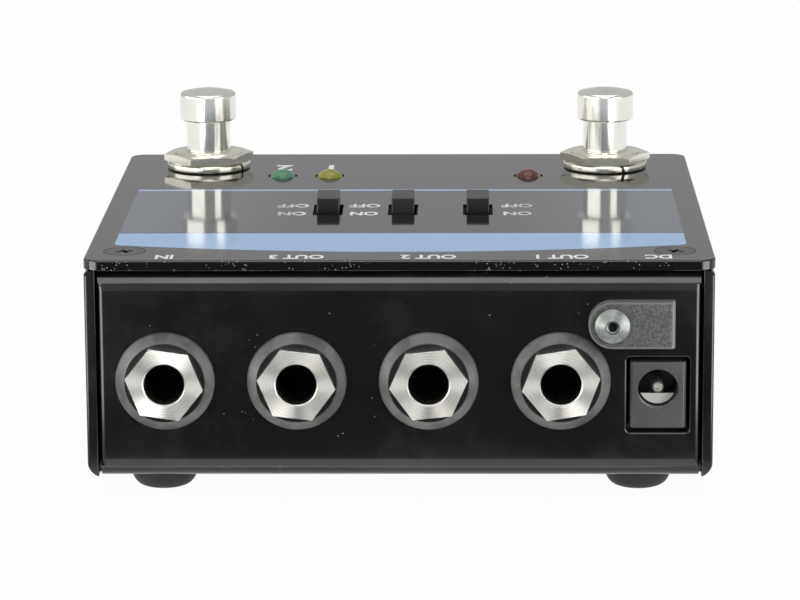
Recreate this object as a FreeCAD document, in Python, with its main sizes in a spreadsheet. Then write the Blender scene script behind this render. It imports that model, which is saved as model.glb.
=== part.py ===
import FreeCAD, Part
import math
import os
import re
import Sketcher

# A foot-operated two-way switch pedal in a folded steel case, in millimetres.
# The jack panel faces -Y, +X is to the right of someone who faces that panel, and +Z is up.
# The origin is under the middle of the pedal, on the surface that its feet stand on.

SIZES = {
    # Case
    "box_width": 101.6,
    "box_depth": 93.6,
    "tray_height": 34.3,
    "sheet_thickness": 1.8,
    "bend_inside_radius": 1.0,
    "rim_fold_radius": 0.8,
    "bend_relief": 0.6,
    "seam_gap": 0.4,
    "jack_flange_width": 12.0,
    "rim_flange_width": 4.0,
    "plate_thickness": 1.8,
    "plate_overhang": 0.2,
    "plate_side_overhang": 0.15,
    "plate_corner_radius": 2.5,
    "plate_edge_bevel": 0.3,
    "cutter_overrun": 1.0,
    # Screws that hold the plate at the jack side, and the hook at the user side
    "cover_screw_side_inset": 6.2,
    "cover_screw_inset": 7.25,
    "cover_screw_head": 7.0,
    "cover_screw_shank": 3.5,
    "cover_screw_length": 8.0,
    "cover_screw_recess": 3.6,
    "cover_screw_slot": 0.8,
    "countersink_depth": 1.5,
    "cover_nut_width": 7.0,
    "cover_nut_height": 2.5,
    "screw_clearance": 0.3,
    "thread_fit": 0.05,
    "hook_width": 18.0,
    "hook_thickness": 1.2,
    "hook_length": 10.0,
    "hook_gap": 0.15,
    "hook_setback": 0.6,
    # Feet
    "foot_height": 3.8,
    "foot_diameter": 11.0,
    "foot_tread_diameter": 8.0,
    "foot_side_inset": 11.65,
    "foot_inset": 11.0,
    # Jacks
    "jack_left_inset": 13.0,
    "jack_right_inset": 24.79,
    "jack_from_top": 18.1,
    "jack_bore": 6.6,
    "jack_bore_land": 2.6,
    "jack_neck_wall": 0.8,
    "jack_neck_diameter": 9.2,
    "jack_neck_length": 7.3,
    "jack_neck_clearance": 0.1,
    "jack_nut_flats": 11.0,
    "jack_nut_height": 1.4,
    "jack_nut_mouth": 0.2,
    "jack_hole_clearance": 0.4,
    "washer_diameter": 16.1,
    "washer_face_diameter": 13.0,
    "washer_thickness": 1.6,
    "jack_body_width": 15.4,
    "jack_body_rise": 7.2,
    "jack_body_drop": 7.8,
    "jack_body_length": 27.5,
    "jack_body_end_wall": 1.2,
    "jack_body_chamfer": 2.0,
    "jack_groove_setback": 7.0,
    "jack_groove_depth": 1.0,
    "jack_groove_height": 3.4,
    "contact_thickness": 0.5,
    "contact_height": 3.0,
    "contact_length": 15.0,
    "contact_leg_setback": 12.0,
    "contact_leg_width": 1.4,
    "contact_leg_tail": 1.2,
    "contact_gap": 0.2,
    # Power socket
    "socket_side_inset": 9.1,
    "socket_width": 9.0,
    "socket_height": 10.9,
    "socket_hole_height": 6.4,
    "socket_face_depth": 3.6,
    "socket_length": 14.2,
    "socket_waist": 0.2,
    "socket_shoulder": 4.0,
    "socket_bevel": 0.4,
    "socket_bore": 6.5,
    "socket_bore_depth": 9.6,
    "socket_window_gap": 0.55,
    "socket_window_rise": 0.75,
    "socket_window_radius": 0.6,
    "socket_pin_diameter": 1.95,
    "socket_pin_setback": 1.2,
    "socket_leaf_width": 2.4,
    "socket_leaf_thickness": 0.4,
    "socket_leaf_gap": 0.3,
    "socket_leaf_below_pin": 0.25,
    "socket_leaf_setback": 2.4,
    "socket_leaf_length": 7.0,
    # Cable clamp
    "clamp_beside_washer": 0.14,
    "clamp_above_washer": 1.55,
    "clamp_height": 7.66,
    "clamp_reach": 10.1,
    "clamp_thickness": 2.2,
    "clamp_slit": 0.12,
    "clamp_fold": 1.3,
    "clamp_fold_radius": 0.9,
    "clamp_screw_shank": 3.0,
    "clamp_screw_head": 5.7,
    "clamp_screw_head_height": 1.65,
    "clamp_screw_crown": 1.15,
    "clamp_screw_socket": 2.0,
    "clamp_screw_socket_depth": 0.9,
    "clamp_screw_length": 7.2,
    "clamp_nut_flats": 5.5,
    "clamp_nut_height": 2.4,
    # Circuit boards
    "board_thickness": 1.6,
    "main_board_side_gap": 2.15,
    "main_board_front_gap": 1.0,
    "main_board_behind_jacks": 14.5,
    "switch_board_side_gap": 1.75,
    "switch_board_before_slides": 7.45,
    "switch_board_behind_lamps": 5.8,
    "board_hole_inset": 4.0,
    "board_screw_shank": 2.9,
    "board_screw_length": 5.0,
    "board_screw_flats": 5.0,
    "board_screw_head_height": 1.6,
    "standoff_flats": 5.0,
    "standoff_bore": 3.1,
    "standoff_before_lamps": 10.2,
    "transformer_width": 15.0,
    "transformer_depth": 12.0,
    "transformer_height": 11.0,
    "transformer_core": 5.0,
    "transformer_core_inset": 1.0,
    "transformer_flange": 1.5,
    "transformer_x": -8.0,
    "transformer_behind_jacks": 1.5,
    "link_x": 10.0,
    "link_behind_jacks": 6.5,
    "link_pins": 6,
    "link_pitch": 2.54,
    "link_pin": 0.64,
    # Footswitches
    "footswitch_side_gap": 10.9,
    "footswitch_back_gap": 8.7,
    "footswitch_hole_clearance": 0.3,
    "lock_washer_diameter": 15.0,
    "lock_washer_thickness": 1.3,
    "lock_washer_split": 0.55,
    "footswitch_nut_flats": 14.0,
    "footswitch_nut_height": 1.55,
    "footswitch_nut_chamfer": 0.2,
    "back_nut_height": 2.0,
    "bushing_diameter": 11.9,
    "bushing_rise": 3.2,
    "bushing_drop": 6.8,
    "bushing_bevel": 0.6,
    "frame_length": 17.4,
    "frame_width": 17.0,
    "frame_thickness": 1.2,
    "frame_leg_width": 9.0,
    "frame_leg_length": 8.0,
    "switch_body_width": 16.6,
    "switch_body_height": 13.5,
    "switch_body_chamfer": 0.8,
    "switch_body_fit": 0.05,
    "lug_base_thickness": 1.6,
    "lug_pitch": 5.0,
    "lug_width": 2.0,
    "lug_thickness": 0.6,
    "lug_length": 4.0,
    "plunger_diameter": 7.8,
    "plunger_fit": 0.06,
    "plunger_drop": 10.0,
    "plunger_well": 3.0,
    "plunger_well_gap": 0.25,
    "cap_diameter": 10.05,
    "cap_bottom": 8.9,
    "cap_side_top": 13.2,
    "cap_shoulder_diameter": 8.7,
    "cap_shoulder_top": 13.85,
    "cap_crown_diameter": 4.4,
    "cap_top": 14.45,
    # Slide switches
    "slide_pitch": 12.75,
    "slide_from_front": 41.25,
    "slot_gap": 0.6,
    "knob_width": 3.85,
    "knob_length": 5.6,
    "knob_height": 2.75,
    "knob_face_height": 2.35,
    "knob_travel": 2.5,
    "slider_width": 6.0,
    "slider_length": 6.8,
    "slider_height": 2.2,
    "slide_frame_gap": 0.1,
    "slide_frame_width": 8.6,
    "slide_frame_length": 15.6,
    "slide_frame_height": 6.2,
    "slide_frame_wall": 0.5,
    "slide_frame_slot_gap": 0.2,
    "wafer_thickness": 0.8,
    "wafer_fit": 0.05,
    "terminal_width": 1.0,
    "terminal_thickness": 0.4,
    "terminal_tail": 1.2,
    "terminal_pitch": 2.5,
    "terminal_row": 2.2,
    "pin_hole_clearance": 0.3,
    # Indicator lamps
    "green_lamp_spacing": 13.75,
    "yellow_lamp_spacing": 22.15,
    "red_lamp_spacing": 13.95,
    "lamp_before_footswitch": 8.5,
    "lamp_diameter": 5.0,
    "lamp_clearance": 0.2,
    "lamp_rise": 1.2,
    "lamp_length": 8.7,
    "lamp_crown_diameter": 2.8,
    "lamp_side_drop": 1.3,
    "lamp_lead": 0.5,
    "lamp_lead_pitch": 2.54,
}

# Places and sizes that follow from the ones above.
DERIVED = {
    "bend_outside_radius": "bend_inside_radius + sheet_thickness",
    "nut_proud": "washer_thickness + jack_nut_height",
    "clamp_proud": "clamp_thickness + clamp_screw_head_height",
    "front_proud": "max(nut_proud; clamp_proud)",
    "total_depth": "box_depth - plate_overhang + front_proud",
    "panel_y": "front_proud - total_depth / 2",
    "plate_front_y": "panel_y - plate_overhang",
    "plate_back_y": "plate_front_y + box_depth",
    "plate_centre_y": "plate_front_y + box_depth / 2",
    "tray_depth": "box_depth - 2 * plate_overhang",
    "tray_width": "box_width - 2 * plate_side_overhang",
    "tray_top_z": "foot_height + tray_height",
    "plate_top_z": "tray_top_z + plate_thickness",
    "inner_width": "tray_width - 2 * sheet_thickness",
    "panel_width": "inner_width - 2 * seam_gap",
    "end_strip": "bend_outside_radius + bend_relief",
    "cover_screw_x": "box_width / 2 - cover_screw_side_inset",
    "cover_screw_hole": "cover_screw_shank + screw_clearance",
    "foot_x": "tray_width / 2 - foot_side_inset",
    "jack_first_x": "jack_left_inset - box_width / 2",
    "jack_last_x": "box_width / 2 - jack_right_inset",
    "jack_pitch": "(jack_last_x - jack_first_x) / 3",
    "jack_height": "tray_height - jack_from_top",
    "jack_z": "foot_height + jack_height",
    "jack_hole": "jack_neck_diameter + jack_hole_clearance",
    "jack_relief_bore": "jack_neck_diameter - 2 * jack_neck_wall",
    "jack_cavity": "jack_neck_diameter + 2 * jack_neck_clearance",
    "jack_back": "plate_overhang + sheet_thickness + jack_body_length",
    "socket_x": "box_width / 2 - socket_side_inset",
    "socket_rise": "socket_height - socket_hole_height",
    "socket_leaf_radius": "socket_bore / 2 - socket_leaf_gap",
    "socket_leaf_top": "-socket_pin_diameter / 2 - socket_leaf_below_pin",
    "socket_leaf_reach": "sqrt(socket_leaf_radius ^ 2 - socket_leaf_top ^ 2)",
    "clamp_screw_x": "jack_last_x + washer_diameter / 2 + clamp_beside_washer",
    "clamp_screw_height": "jack_height + washer_diameter / 2 + clamp_above_washer",
    "clamp_screw_z": "foot_height + clamp_screw_height",
    "main_board_width": "inner_width - 2 * main_board_side_gap",
    "main_board_height": "jack_height - jack_body_drop",
    "main_board_top_z": "foot_height + main_board_height",
    "main_board_front": "plate_overhang + sheet_thickness + main_board_front_gap",
    "main_board_back": "jack_back + main_board_behind_jacks",
    "main_standoff_x": "main_board_width / 2 - board_hole_inset",
    "main_standoff_from_front": "main_board_back - board_hole_inset",
    "main_standoff_height": "main_board_height - board_thickness - sheet_thickness",
    "socket_hole_z": "main_board_top_z + socket_hole_height",
    "transformer_from_front": "jack_back + transformer_behind_jacks + transformer_depth / 2",
    "link_from_front": "jack_back + link_behind_jacks",
    "bushing_bore": "plunger_diameter + 2 * plunger_fit",
    "footswitch_hole": "bushing_diameter + footswitch_hole_clearance",
    "footswitch_nut_bore": "bushing_diameter + 2 * thread_fit",
    "footswitch_x": "tray_width / 2 - rim_flange_width - footswitch_side_gap",
    "footswitch_from_front": "box_depth - plate_overhang - rim_flange_width - footswitch_back_gap",
    "footswitch_y": "plate_front_y + footswitch_from_front",
    "frame_bottom": "-bushing_drop - frame_thickness",
    "switch_body_length": "frame_length - 2 * frame_thickness - 2 * switch_body_fit",
    "switch_body_bottom": "frame_bottom - switch_body_height",
    "slide_y": "plate_front_y + slide_from_front",
    "slot_width": "knob_width + 2 * slot_gap",
    "slot_length": "knob_length + knob_travel + 2 * slot_gap",
    "slide_frame_top": "-plate_thickness - slide_frame_gap",
    "slide_frame_slot_width": "knob_width + 2 * slide_frame_slot_gap",
    "slide_frame_slot_length": "knob_length + knob_travel + 2 * slide_frame_slot_gap",
    "green_lamp_x": "green_lamp_spacing - footswitch_x",
    "yellow_lamp_x": "yellow_lamp_spacing - footswitch_x",
    "red_lamp_x": "footswitch_x - red_lamp_spacing",
    "lamp_from_front": "footswitch_from_front - lamp_before_footswitch",
    "lamp_y": "plate_front_y + lamp_from_front",
    "lamp_hole": "lamp_diameter + lamp_clearance",
    "lamp_bottom": "lamp_rise - lamp_length",
    "switch_board_width": "2 * (footswitch_x - frame_width / 2 - switch_board_side_gap)",
    "switch_board_front": "slide_from_front - slide_frame_length / 2 - switch_board_before_slides",
    "switch_board_back": "lamp_from_front + switch_board_behind_lamps",
    "switch_board_top": "slide_frame_top - slide_frame_height",
    "switch_board_top_z": "plate_top_z + switch_board_top",
    "upper_standoff_x": "switch_board_width / 2 - board_hole_inset",
    "upper_standoff_front": "switch_board_front + board_hole_inset",
    "upper_standoff_back": "lamp_from_front - standoff_before_lamps",
    "upper_standoff_height": "-switch_board_top - plate_thickness",
}

JACKS = ("input", "tuner", "output_b", "output_a")
JACK_NUT_TURNS = (-8.3, -6.7, 5.9, 9.2)
FOOTSWITCHES = {
    "left": {"x": "-footswitch_x", "nut_turn": 10.0, "split_turn": -32.0},
    "right": {"x": "footswitch_x", "nut_turn": 0.0, "split_turn": -65.0},
}
SLIDE_SWITCHES = {"left": "-slide_pitch", "middle": "0", "right": "slide_pitch"}
LAMPS = {"green": "green_lamp_x", "yellow": "yellow_lamp_x", "red": "red_lamp_x"}
SIDES = (-1, 1)

OUT_OF_PANEL = FreeCAD.Rotation(FreeCAD.Vector(1, 0, 0), 90)
SAME_PLACE = 1e-3

doc = FreeCAD.newDocument("switch_pedal")
sheet = doc.addObject("Spreadsheet::Sheet", "Sizes")
sub_parts = []


def fill_sheet():
    """Write every size, and every formula that follows from the sizes, into the sheet."""
    rows = list(SIZES) + list(DERIVED)
    for row, alias in enumerate(rows, start=1):
        sheet.set("A%d" % row, alias)
        sheet.setAlias("B%d" % row, alias)
    for alias, number in SIZES.items():
        sheet.set(alias, str(number))
    for alias, formula in DERIVED.items():
        sheet.set(alias, "=" + formula)
    doc.recompute()


def size(alias):
    return float(sheet.get(alias))


def linked(formula):
    """The formula with each size written as a reference to the sheet."""
    return re.sub(r"[a-z][a-z_]+", lambda word: known_name(word.group()), str(formula))


def known_name(word):
    if word in SIZES or word in DERIVED:
        return "Sizes." + word
    return word


def number(formula):
    """The formula's value now, from which a sketch starts before its constraints hold it."""
    text = re.sub(r"[a-z][a-z_]+", lambda word: known_number(word.group()), str(formula))
    return FreeCAD.Units.Quantity(text).Value


def known_number(word):
    if word in SIZES or word in DERIVED:
        return "(%.9f)" % size(word)
    return word


def bind(item, name, formula):
    item.setExpression(name, linked(formula))


def keep(item, label):
    """Give a finished sub-part its name and list it for export."""
    item.Label = label
    sub_parts.append(item)
    return item


def place(item, x, y, z, rotation=None):
    if rotation is not None:
        item.Placement = FreeCAD.Placement(FreeCAD.Vector(), rotation)
    bind(item, "Placement.Base.x", x)
    bind(item, "Placement.Base.y", y)
    bind(item, "Placement.Base.z", z)


def new_body(name):
    return doc.addObject("PartDesign::Body", name)


def new_sketch(body, plane, height="0", aside="0"):
    """A sketch on one of the body's planes, raised from it and moved along the sketch's own X."""
    sketch = body.newObject("Sketcher::SketchObject", body.Name + "_sketch")
    support = [feature for feature in body.Origin.OriginFeatures if feature.Role == plane][0]
    sketch.AttachmentSupport = (support, [""])
    sketch.MapMode = "FlatFace"
    bind(sketch, "AttachmentOffset.Base.x", aside)
    bind(sketch, "AttachmentOffset.Base.z", height)
    return sketch


def constrain(sketch, formula, *terms):
    index = sketch.addConstraint(Sketcher.Constraint(*terms, number(formula)))
    bind(sketch, "Constraints[%d]" % index, formula)


def draw_outline(sketch, corners):
    """A closed outline, anticlockwise. A corner with a radius starts an arc that bulges outwards."""
    first = sketch.GeometryCount
    count = len(corners)
    points = [FreeCAD.Vector(number(corner[0]), number(corner[1]), 0) for corner in corners]
    for index, corner in enumerate(corners):
        start = points[index]
        end = points[(index + 1) % count]
        if len(corner) == 3:
            sketch.addGeometry(outward_arc(start, end, number(corner[2])))
        else:
            sketch.addGeometry(Part.LineSegment(start, end))
    for index, corner in enumerate(corners):
        following = (index + 1) % count
        sketch.addConstraint(Sketcher.Constraint("Coincident", first + index, 2, first + following, 1))
        constrain(sketch, corner[0], "DistanceX", -1, 1, first + index, 1)
        constrain(sketch, corner[1], "DistanceY", -1, 1, first + index, 1)
        if len(corner) == 3:
            constrain(sketch, corner[2], "Radius", first + index)


def outward_arc(start, end, radius):
    chord = end - start
    across = FreeCAD.Vector(chord.y, -chord.x, 0).normalize()
    depth = radius - math.sqrt(radius ** 2 - chord.Length ** 2 / 4)
    return Part.Arc(start, (start + end) * 0.5 + across * depth, end)


def draw_rectangle(sketch, left, bottom, right, top):
    draw_outline(sketch, [(left, bottom), (right, bottom), (right, top), (left, top)])


def draw_centred_rectangle(sketch, x, y, width, depth):
    draw_rectangle(
        sketch,
        "(%s) - (%s) / 2" % (x, width),
        "(%s) - (%s) / 2" % (y, depth),
        "(%s) + (%s) / 2" % (x, width),
        "(%s) + (%s) / 2" % (y, depth),
    )


def draw_circle(sketch, x, y, diameter):
    centre = FreeCAD.Vector(number(x), number(y), 0)
    index = sketch.addGeometry(Part.Circle(centre, FreeCAD.Vector(0, 0, 1), number(diameter) / 2))
    constrain(sketch, x, "DistanceX", -1, 1, index, 3)
    constrain(sketch, y, "DistanceY", -1, 1, index, 3)
    constrain(sketch, diameter, "Diameter", index)


def draw_hexagon(sketch, flats, turn):
    corners = []
    for index in range(6):
        angle = math.radians(turn + 60 * index)
        half = "(%s) / %.9f" % (flats, math.sqrt(3))
        corners.append(("%s * %.9f" % (half, math.cos(angle)), "%s * %.9f" % (half, math.sin(angle))))
    draw_outline(sketch, corners)


def pad(body, sketch, length, symmetric=False, downwards=False):
    feature = body.newObject("PartDesign::Pad", body.Name + "_pad")
    feature.Profile = sketch
    bind(feature, "Length", length)
    if symmetric:
        feature.SideType = "Symmetric"
    feature.Reversed = downwards
    doc.recompute()
    return feature


def pocket(body, sketch, depth=None, upwards=False, symmetric=False):
    """Cut a sketch into the body, all the way through unless a depth is given."""
    before = body.Tip.Shape.Volume
    feature = body.newObject("PartDesign::Pocket", body.Name + "_pocket")
    feature.Profile = sketch
    if depth is None:
        feature.Type = "ThroughAll"
    else:
        bind(feature, "Length", depth)
    if symmetric:
        feature.SideType = "Symmetric"
    feature.Reversed = upwards
    doc.recompute()
    check_cut(feature, before)
    return feature


def revolve(body, sketch):
    feature = body.newObject("PartDesign::Revolution", body.Name + "_turned")
    feature.Profile = sketch
    feature.ReferenceAxis = (sketch, ["V_Axis"])
    doc.recompute()
    return feature


def groove(body, sketch):
    before = body.Tip.Shape.Volume
    feature = body.newObject("PartDesign::Groove", body.Name + "_groove")
    feature.Profile = sketch
    feature.ReferenceAxis = (sketch, ["V_Axis"])
    doc.recompute()
    check_cut(feature, before)
    return feature


def check_cut(feature, before):
    if feature.Shape.Volume >= before:
        raise RuntimeError(feature.Name + " cut nothing")


def dress(body, kind, value_name, edges, value):
    """Round or chamfer the named edges of the body's last feature."""
    if not edges:
        raise RuntimeError(body.Name + " has no edge there")
    feature = body.newObject("PartDesign::" + kind, body.Name + "_" + kind.lower())
    feature.Base = (body.Tip if body.Tip != feature else feature.BaseFeature, edges)
    bind(feature, value_name, value)
    doc.recompute()
    return feature


def round_edges(body, edges, radius):
    return dress(body, "Fillet", "Radius", edges, radius)


def chamfer_edges(body, edges, length):
    return dress(body, "Chamfer", "Size", edges, length)


def near(one, other):
    return abs(one - other) < SAME_PLACE


def edges_where(body, test):
    edges = enumerate(body.Tip.Shape.Edges, start=1)
    return ["Edge%d" % index for index, edge in edges if not edge.Degenerated and test(edge)]


def straight_edges(body, axis, *spots, least=0):
    """Edges along an axis (0, 1 or 2), at least that long, through spots in the plane across it."""
    others = [index for index in range(3) if index != axis]

    def test(edge):
        ends = [vertex.Point for vertex in edge.Vertexes]
        if len(ends) != 2 or not isinstance(edge.Curve, Part.Line):
            return False
        if not all(near(ends[0][index], ends[1][index]) for index in others):
            return False
        if abs(ends[0][axis] - ends[1][axis]) < least:
            return False
        place_across = [ends[0][index] for index in others]
        return any(near(place_across[0], spot[0]) and near(place_across[1], spot[1]) for spot in spots)

    return edges_where(body, test)


def ring_edges(body, diameter, height):
    """Round edges of that diameter at that height of the body."""

    def test(edge):
        if not isinstance(edge.Curve, Part.Circle):
            return False
        return near(edge.Curve.Radius, diameter / 2) and near(edge.Curve.Center.z, height)

    return edges_where(body, test)


def edges_at_height(body, height):
    def test(edge):
        return near(edge.BoundBox.ZMin, height) and near(edge.BoundBox.ZMax, height)

    return edges_where(body, test)


def turned(name, profile):
    """A body turned about its own Z axis, from half of its section."""
    body = new_body(name)
    sketch = new_sketch(body, "XZ_Plane")
    draw_outline(sketch, profile)
    revolve(body, sketch)
    return body


def hex_bar(name, flats, bottom, height, turn=0):
    body = new_body(name)
    sketch = new_sketch(body, "XY_Plane", bottom)
    draw_hexagon(sketch, flats, turn)
    pad(body, sketch, height)
    return body


def add_rod(body, diameter, top, length):
    """A round rod that goes down from a height of the body."""
    sketch = new_sketch(body, "XY_Plane", top)
    draw_circle(sketch, "0", "0", diameter)
    pad(body, sketch, length, downwards=True)


def turn_off_corners(body, flats, top, drop):
    """Turn the outer corners of a hexagon off, from its flats down to that drop below its top."""
    sketch = new_sketch(body, "XZ_Plane")
    corner = "(%s) * %.9f" % (flats, 1 / math.sqrt(3))
    draw_outline(sketch, [
        ("(%s) / 2" % flats, top),
        (corner, "%s - (%s)" % (top, drop)),
        ("%s + cutter_overrun" % corner, "%s - (%s)" % (top, drop)),
        ("%s + cutter_overrun" % corner, top),
    ])
    groove(body, sketch)


def hex_nut(name, flats, bottom, height, bore, turn=0, corner_drop=None, neck=None):
    """A hexagon nut along Z. It can have a neck below and corners that are turned off above."""
    body = hex_bar(name, flats, bottom, height, turn)
    top = "(%s) + (%s)" % (bottom, height)
    if neck:
        add_rod(body, neck["diameter"], bottom, neck["length"])
    if corner_drop:
        turn_off_corners(body, flats, top, corner_drop)
    hole = new_sketch(body, "XY_Plane", top)
    draw_circle(hole, "0", "0", bore)
    pocket(body, hole)
    return body


def block(name, x, y, z, width, depth, height):
    """A plain box from its lowest corner, in the pedal's own frame."""
    box = doc.addObject("Part::Box", name)
    bind(box, "Length", width)
    bind(box, "Width", depth)
    bind(box, "Height", height)
    place(box, x, y, z)
    return box


def fused(name, members):
    joined = doc.addObject("Part::MultiFuse", name)
    joined.Shapes = members
    return joined


def group(label, members):
    """Separate solids that share one node."""
    together = doc.addObject("Part::Compound", label)
    together.Links = members
    return keep(together, label)


def jack_x(index):
    return "(jack_first_x + %d * jack_pitch)" % index


def make_tray():
    """The folded tray: floor, four walls and inward flanges, with open seams at the corners."""
    body = new_body("base_tray")
    half = "tray_width / 2"
    right = [
        (half, "0"),
        (half, "tray_height"),
        (half + " - rim_flange_width", "tray_height"),
        (half + " - rim_flange_width", "tray_height - sheet_thickness"),
        (half + " - sheet_thickness", "tray_height - sheet_thickness"),
        (half + " - sheet_thickness", "sheet_thickness"),
    ]
    left = [("-(%s)" % x, z) for x, z in reversed(right)]
    section = new_sketch(body, "XZ_Plane")
    draw_outline(section, right + left)
    pad(body, section, "tray_depth", symmetric=True)
    walls = [side * size("tray_width") / 2 for side in SIDES]
    top = size("tray_height")
    bend_edges(body, 1, walls, [0])
    round_edges(body, straight_edges(body, 1, *[(wall, top) for wall in walls]), "rim_fold_radius")

    strips = new_sketch(body, "XY_Plane")
    for side in SIDES:
        edge = "%d * tray_depth / 2" % side
        draw_centred_rectangle(strips, "0", edge, "inner_width", "2 * end_strip")
    pocket(body, strips, "end_strip", upwards=True)

    flange_ends = new_sketch(body, "XY_Plane", "tray_height")
    for side, flange in zip(SIDES, ("jack_flange_width", "rim_flange_width")):
        edge = "%d * tray_depth / 2" % side
        draw_centred_rectangle(flange_ends, "0", edge, "inner_width", "2 * (%s + seam_gap)" % flange)
    pocket(body, flange_ends, "end_strip")

    for side, flange in zip(SIDES, ("jack_flange_width", "rim_flange_width")):
        add_end_wall(body, side, flange)
    cut_jack_panel(body)
    cut_cover_screw_holes(body)
    keep(body, "base_tray")
    place(body, "0", "plate_centre_y", "foot_height")


def bend_edges(body, axis, walls, heights):
    """Round the outside and inside of the bends at those heights of the walls along an axis."""
    sheet_gauge = size("sheet_thickness")
    least = size("rim_flange_width")
    outside = [(wall, height) for wall in walls for height in heights]
    round_edges(body, straight_edges(body, axis, *outside, least=least), "bend_outside_radius")
    inside = []
    for wall in walls:
        inner = wall - math.copysign(sheet_gauge, wall)
        inside += [(inner, abs(height - sheet_gauge)) for height in heights]
    round_edges(body, straight_edges(body, axis, *inside, least=least), "bend_inside_radius")


def add_end_wall(body, side, flange):
    """A wall across the front or back, folded up from the floor and in again at the top."""
    section = new_sketch(body, "YZ_Plane")
    face = "%d * tray_depth / 2" % side
    steps = [
        ("0", "0"),
        ("0", "tray_height"),
        (flange, "tray_height"),
        (flange, "tray_height - sheet_thickness"),
        ("sheet_thickness", "tray_height - sheet_thickness"),
        ("sheet_thickness", "sheet_thickness"),
        ("end_strip + sheet_thickness", "sheet_thickness"),
        ("end_strip + sheet_thickness", "0"),
    ]
    corners = [("%s - %d * (%s)" % (face, side, inwards), height) for inwards, height in steps]
    if side < 0:
        corners.reverse()
    draw_outline(section, corners)
    pad(body, section, "panel_width", symmetric=True)
    bend_edges(body, 0, [side * size("tray_depth") / 2], [0, size("tray_height")])


def cut_jack_panel(body):
    """The round jack holes, the power socket's window and the clamp's screw hole."""
    holes = new_sketch(body, "XZ_Plane", "tray_depth / 2")
    for index in range(len(JACKS)):
        draw_circle(holes, jack_x(index), "jack_height", "jack_hole")
    draw_circle(holes, "clamp_screw_x", "clamp_screw_height", "clamp_screw_shank + screw_clearance")
    pocket(body, holes, "sheet_thickness + cutter_overrun")
    window = new_sketch(body, "XZ_Plane", "tray_depth / 2")
    left = "socket_x - socket_width / 2 - socket_window_gap"
    right = "socket_x + socket_width / 2 + socket_window_gap"
    bottom = "main_board_height - socket_window_rise"
    top = "main_board_height + socket_height + socket_window_rise"
    draw_rectangle(window, left, bottom, right, top)
    pocket(body, window, "sheet_thickness + cutter_overrun")
    corners = [(number(x), number(z)) for x in (left, right) for z in (bottom, top)]
    round_edges(body, straight_edges(body, 1, *corners), "socket_window_radius")


def cut_cover_screw_holes(body):
    holes = new_sketch(body, "XY_Plane", "tray_height")
    for side in SIDES:
        y = "cover_screw_inset - plate_overhang - tray_depth / 2"
        draw_circle(holes, "%d * cover_screw_x" % side, y, "cover_screw_hole")
    pocket(body, holes, "sheet_thickness + cutter_overrun")


def make_plate():
    """The flat top plate with its slots, lamp holes, footswitch holes and countersinks."""
    body = new_body("top_plate")
    outline = new_sketch(body, "XY_Plane")
    draw_centred_rectangle(outline, "0", "0", "box_width", "box_depth")
    pad(body, outline, "plate_thickness")
    corners = [(x * size("box_width") / 2, y * size("box_depth") / 2) for x in SIDES for y in SIDES]
    round_edges(body, straight_edges(body, 2, *corners), "plate_corner_radius")
    chamfer_edges(body, edges_at_height(body, size("plate_thickness")), "plate_edge_bevel")
    front = "-box_depth / 2"
    holes = new_sketch(body, "XY_Plane", "plate_thickness")
    for x in LAMPS.values():
        draw_circle(holes, x, front + " + lamp_from_front", "lamp_hole")
    for switch in FOOTSWITCHES.values():
        draw_circle(holes, switch["x"], front + " + footswitch_from_front", "footswitch_hole")
    for x in SLIDE_SWITCHES.values():
        draw_centred_rectangle(holes, x, front + " + slide_from_front", "slot_width", "slot_length")
    pocket(body, holes)
    for side in SIDES:
        sink = new_sketch(body, "XZ_Plane", "box_depth / 2 - cover_screw_inset", "%d * cover_screw_x" % side)
        draw_outline(sink, [
            ("0", "-cutter_overrun"),
            ("cover_screw_hole / 2", "-cutter_overrun"),
            ("cover_screw_hole / 2", "plate_thickness - countersink_depth"),
            ("cover_screw_head / 2", "plate_thickness"),
            ("0", "plate_thickness"),
        ])
        groove(body, sink)
    keep(body, "top_plate")
    place(body, "0", "plate_centre_y", "tray_top_z")


def make_cover_screws():
    """Countersunk screws with a cross recess, flush with the plate."""
    screws = []
    for side in SIDES:
        screw = turned("cover_screw", [
            ("0", "-cover_screw_length"),
            ("cover_screw_shank / 2", "-cover_screw_length"),
            ("cover_screw_shank / 2", "-countersink_depth"),
            ("cover_screw_hole / 2", "-countersink_depth"),
            ("cover_screw_head / 2", "0"),
            ("0", "0"),
        ])
        arms = ["cover_screw_recess", "cover_screw_slot"]
        for length, width in (arms, reversed(arms)):
            recess = new_sketch(screw, "XY_Plane")
            draw_centred_rectangle(recess, "0", "0", length, width)
            pocket(screw, recess, "cover_screw_slot")
        place(screw, "%d * cover_screw_x" % side, "plate_front_y + cover_screw_inset", "plate_top_z")
        screws.append(screw)
    group("cover_screws", screws)


def ring(name, outside, bore, bottom, height):
    top = "(%s) + (%s)" % (bottom, height)
    return turned(name, [
        ("(%s) / 2" % bore, bottom),
        ("(%s) / 2" % outside, bottom),
        ("(%s) / 2" % outside, top),
        ("(%s) / 2" % bore, top),
    ])


def make_cover_nuts():
    """Square weld nuts under the flange at the jack side."""
    nuts = []
    for side in SIDES:
        nut = new_body("cover_nut")
        outline = new_sketch(nut, "XY_Plane")
        draw_centred_rectangle(outline, "0", "0", "cover_nut_width", "cover_nut_width")
        draw_circle(outline, "0", "0", "cover_screw_shank + 2 * thread_fit")
        pad(nut, outline, "cover_nut_height", downwards=True)
        place(nut, "%d * cover_screw_x" % side, "plate_front_y + cover_screw_inset",
              "tray_top_z - sheet_thickness")
        nuts.append(nut)
    group("cover_nuts", nuts)


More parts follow.
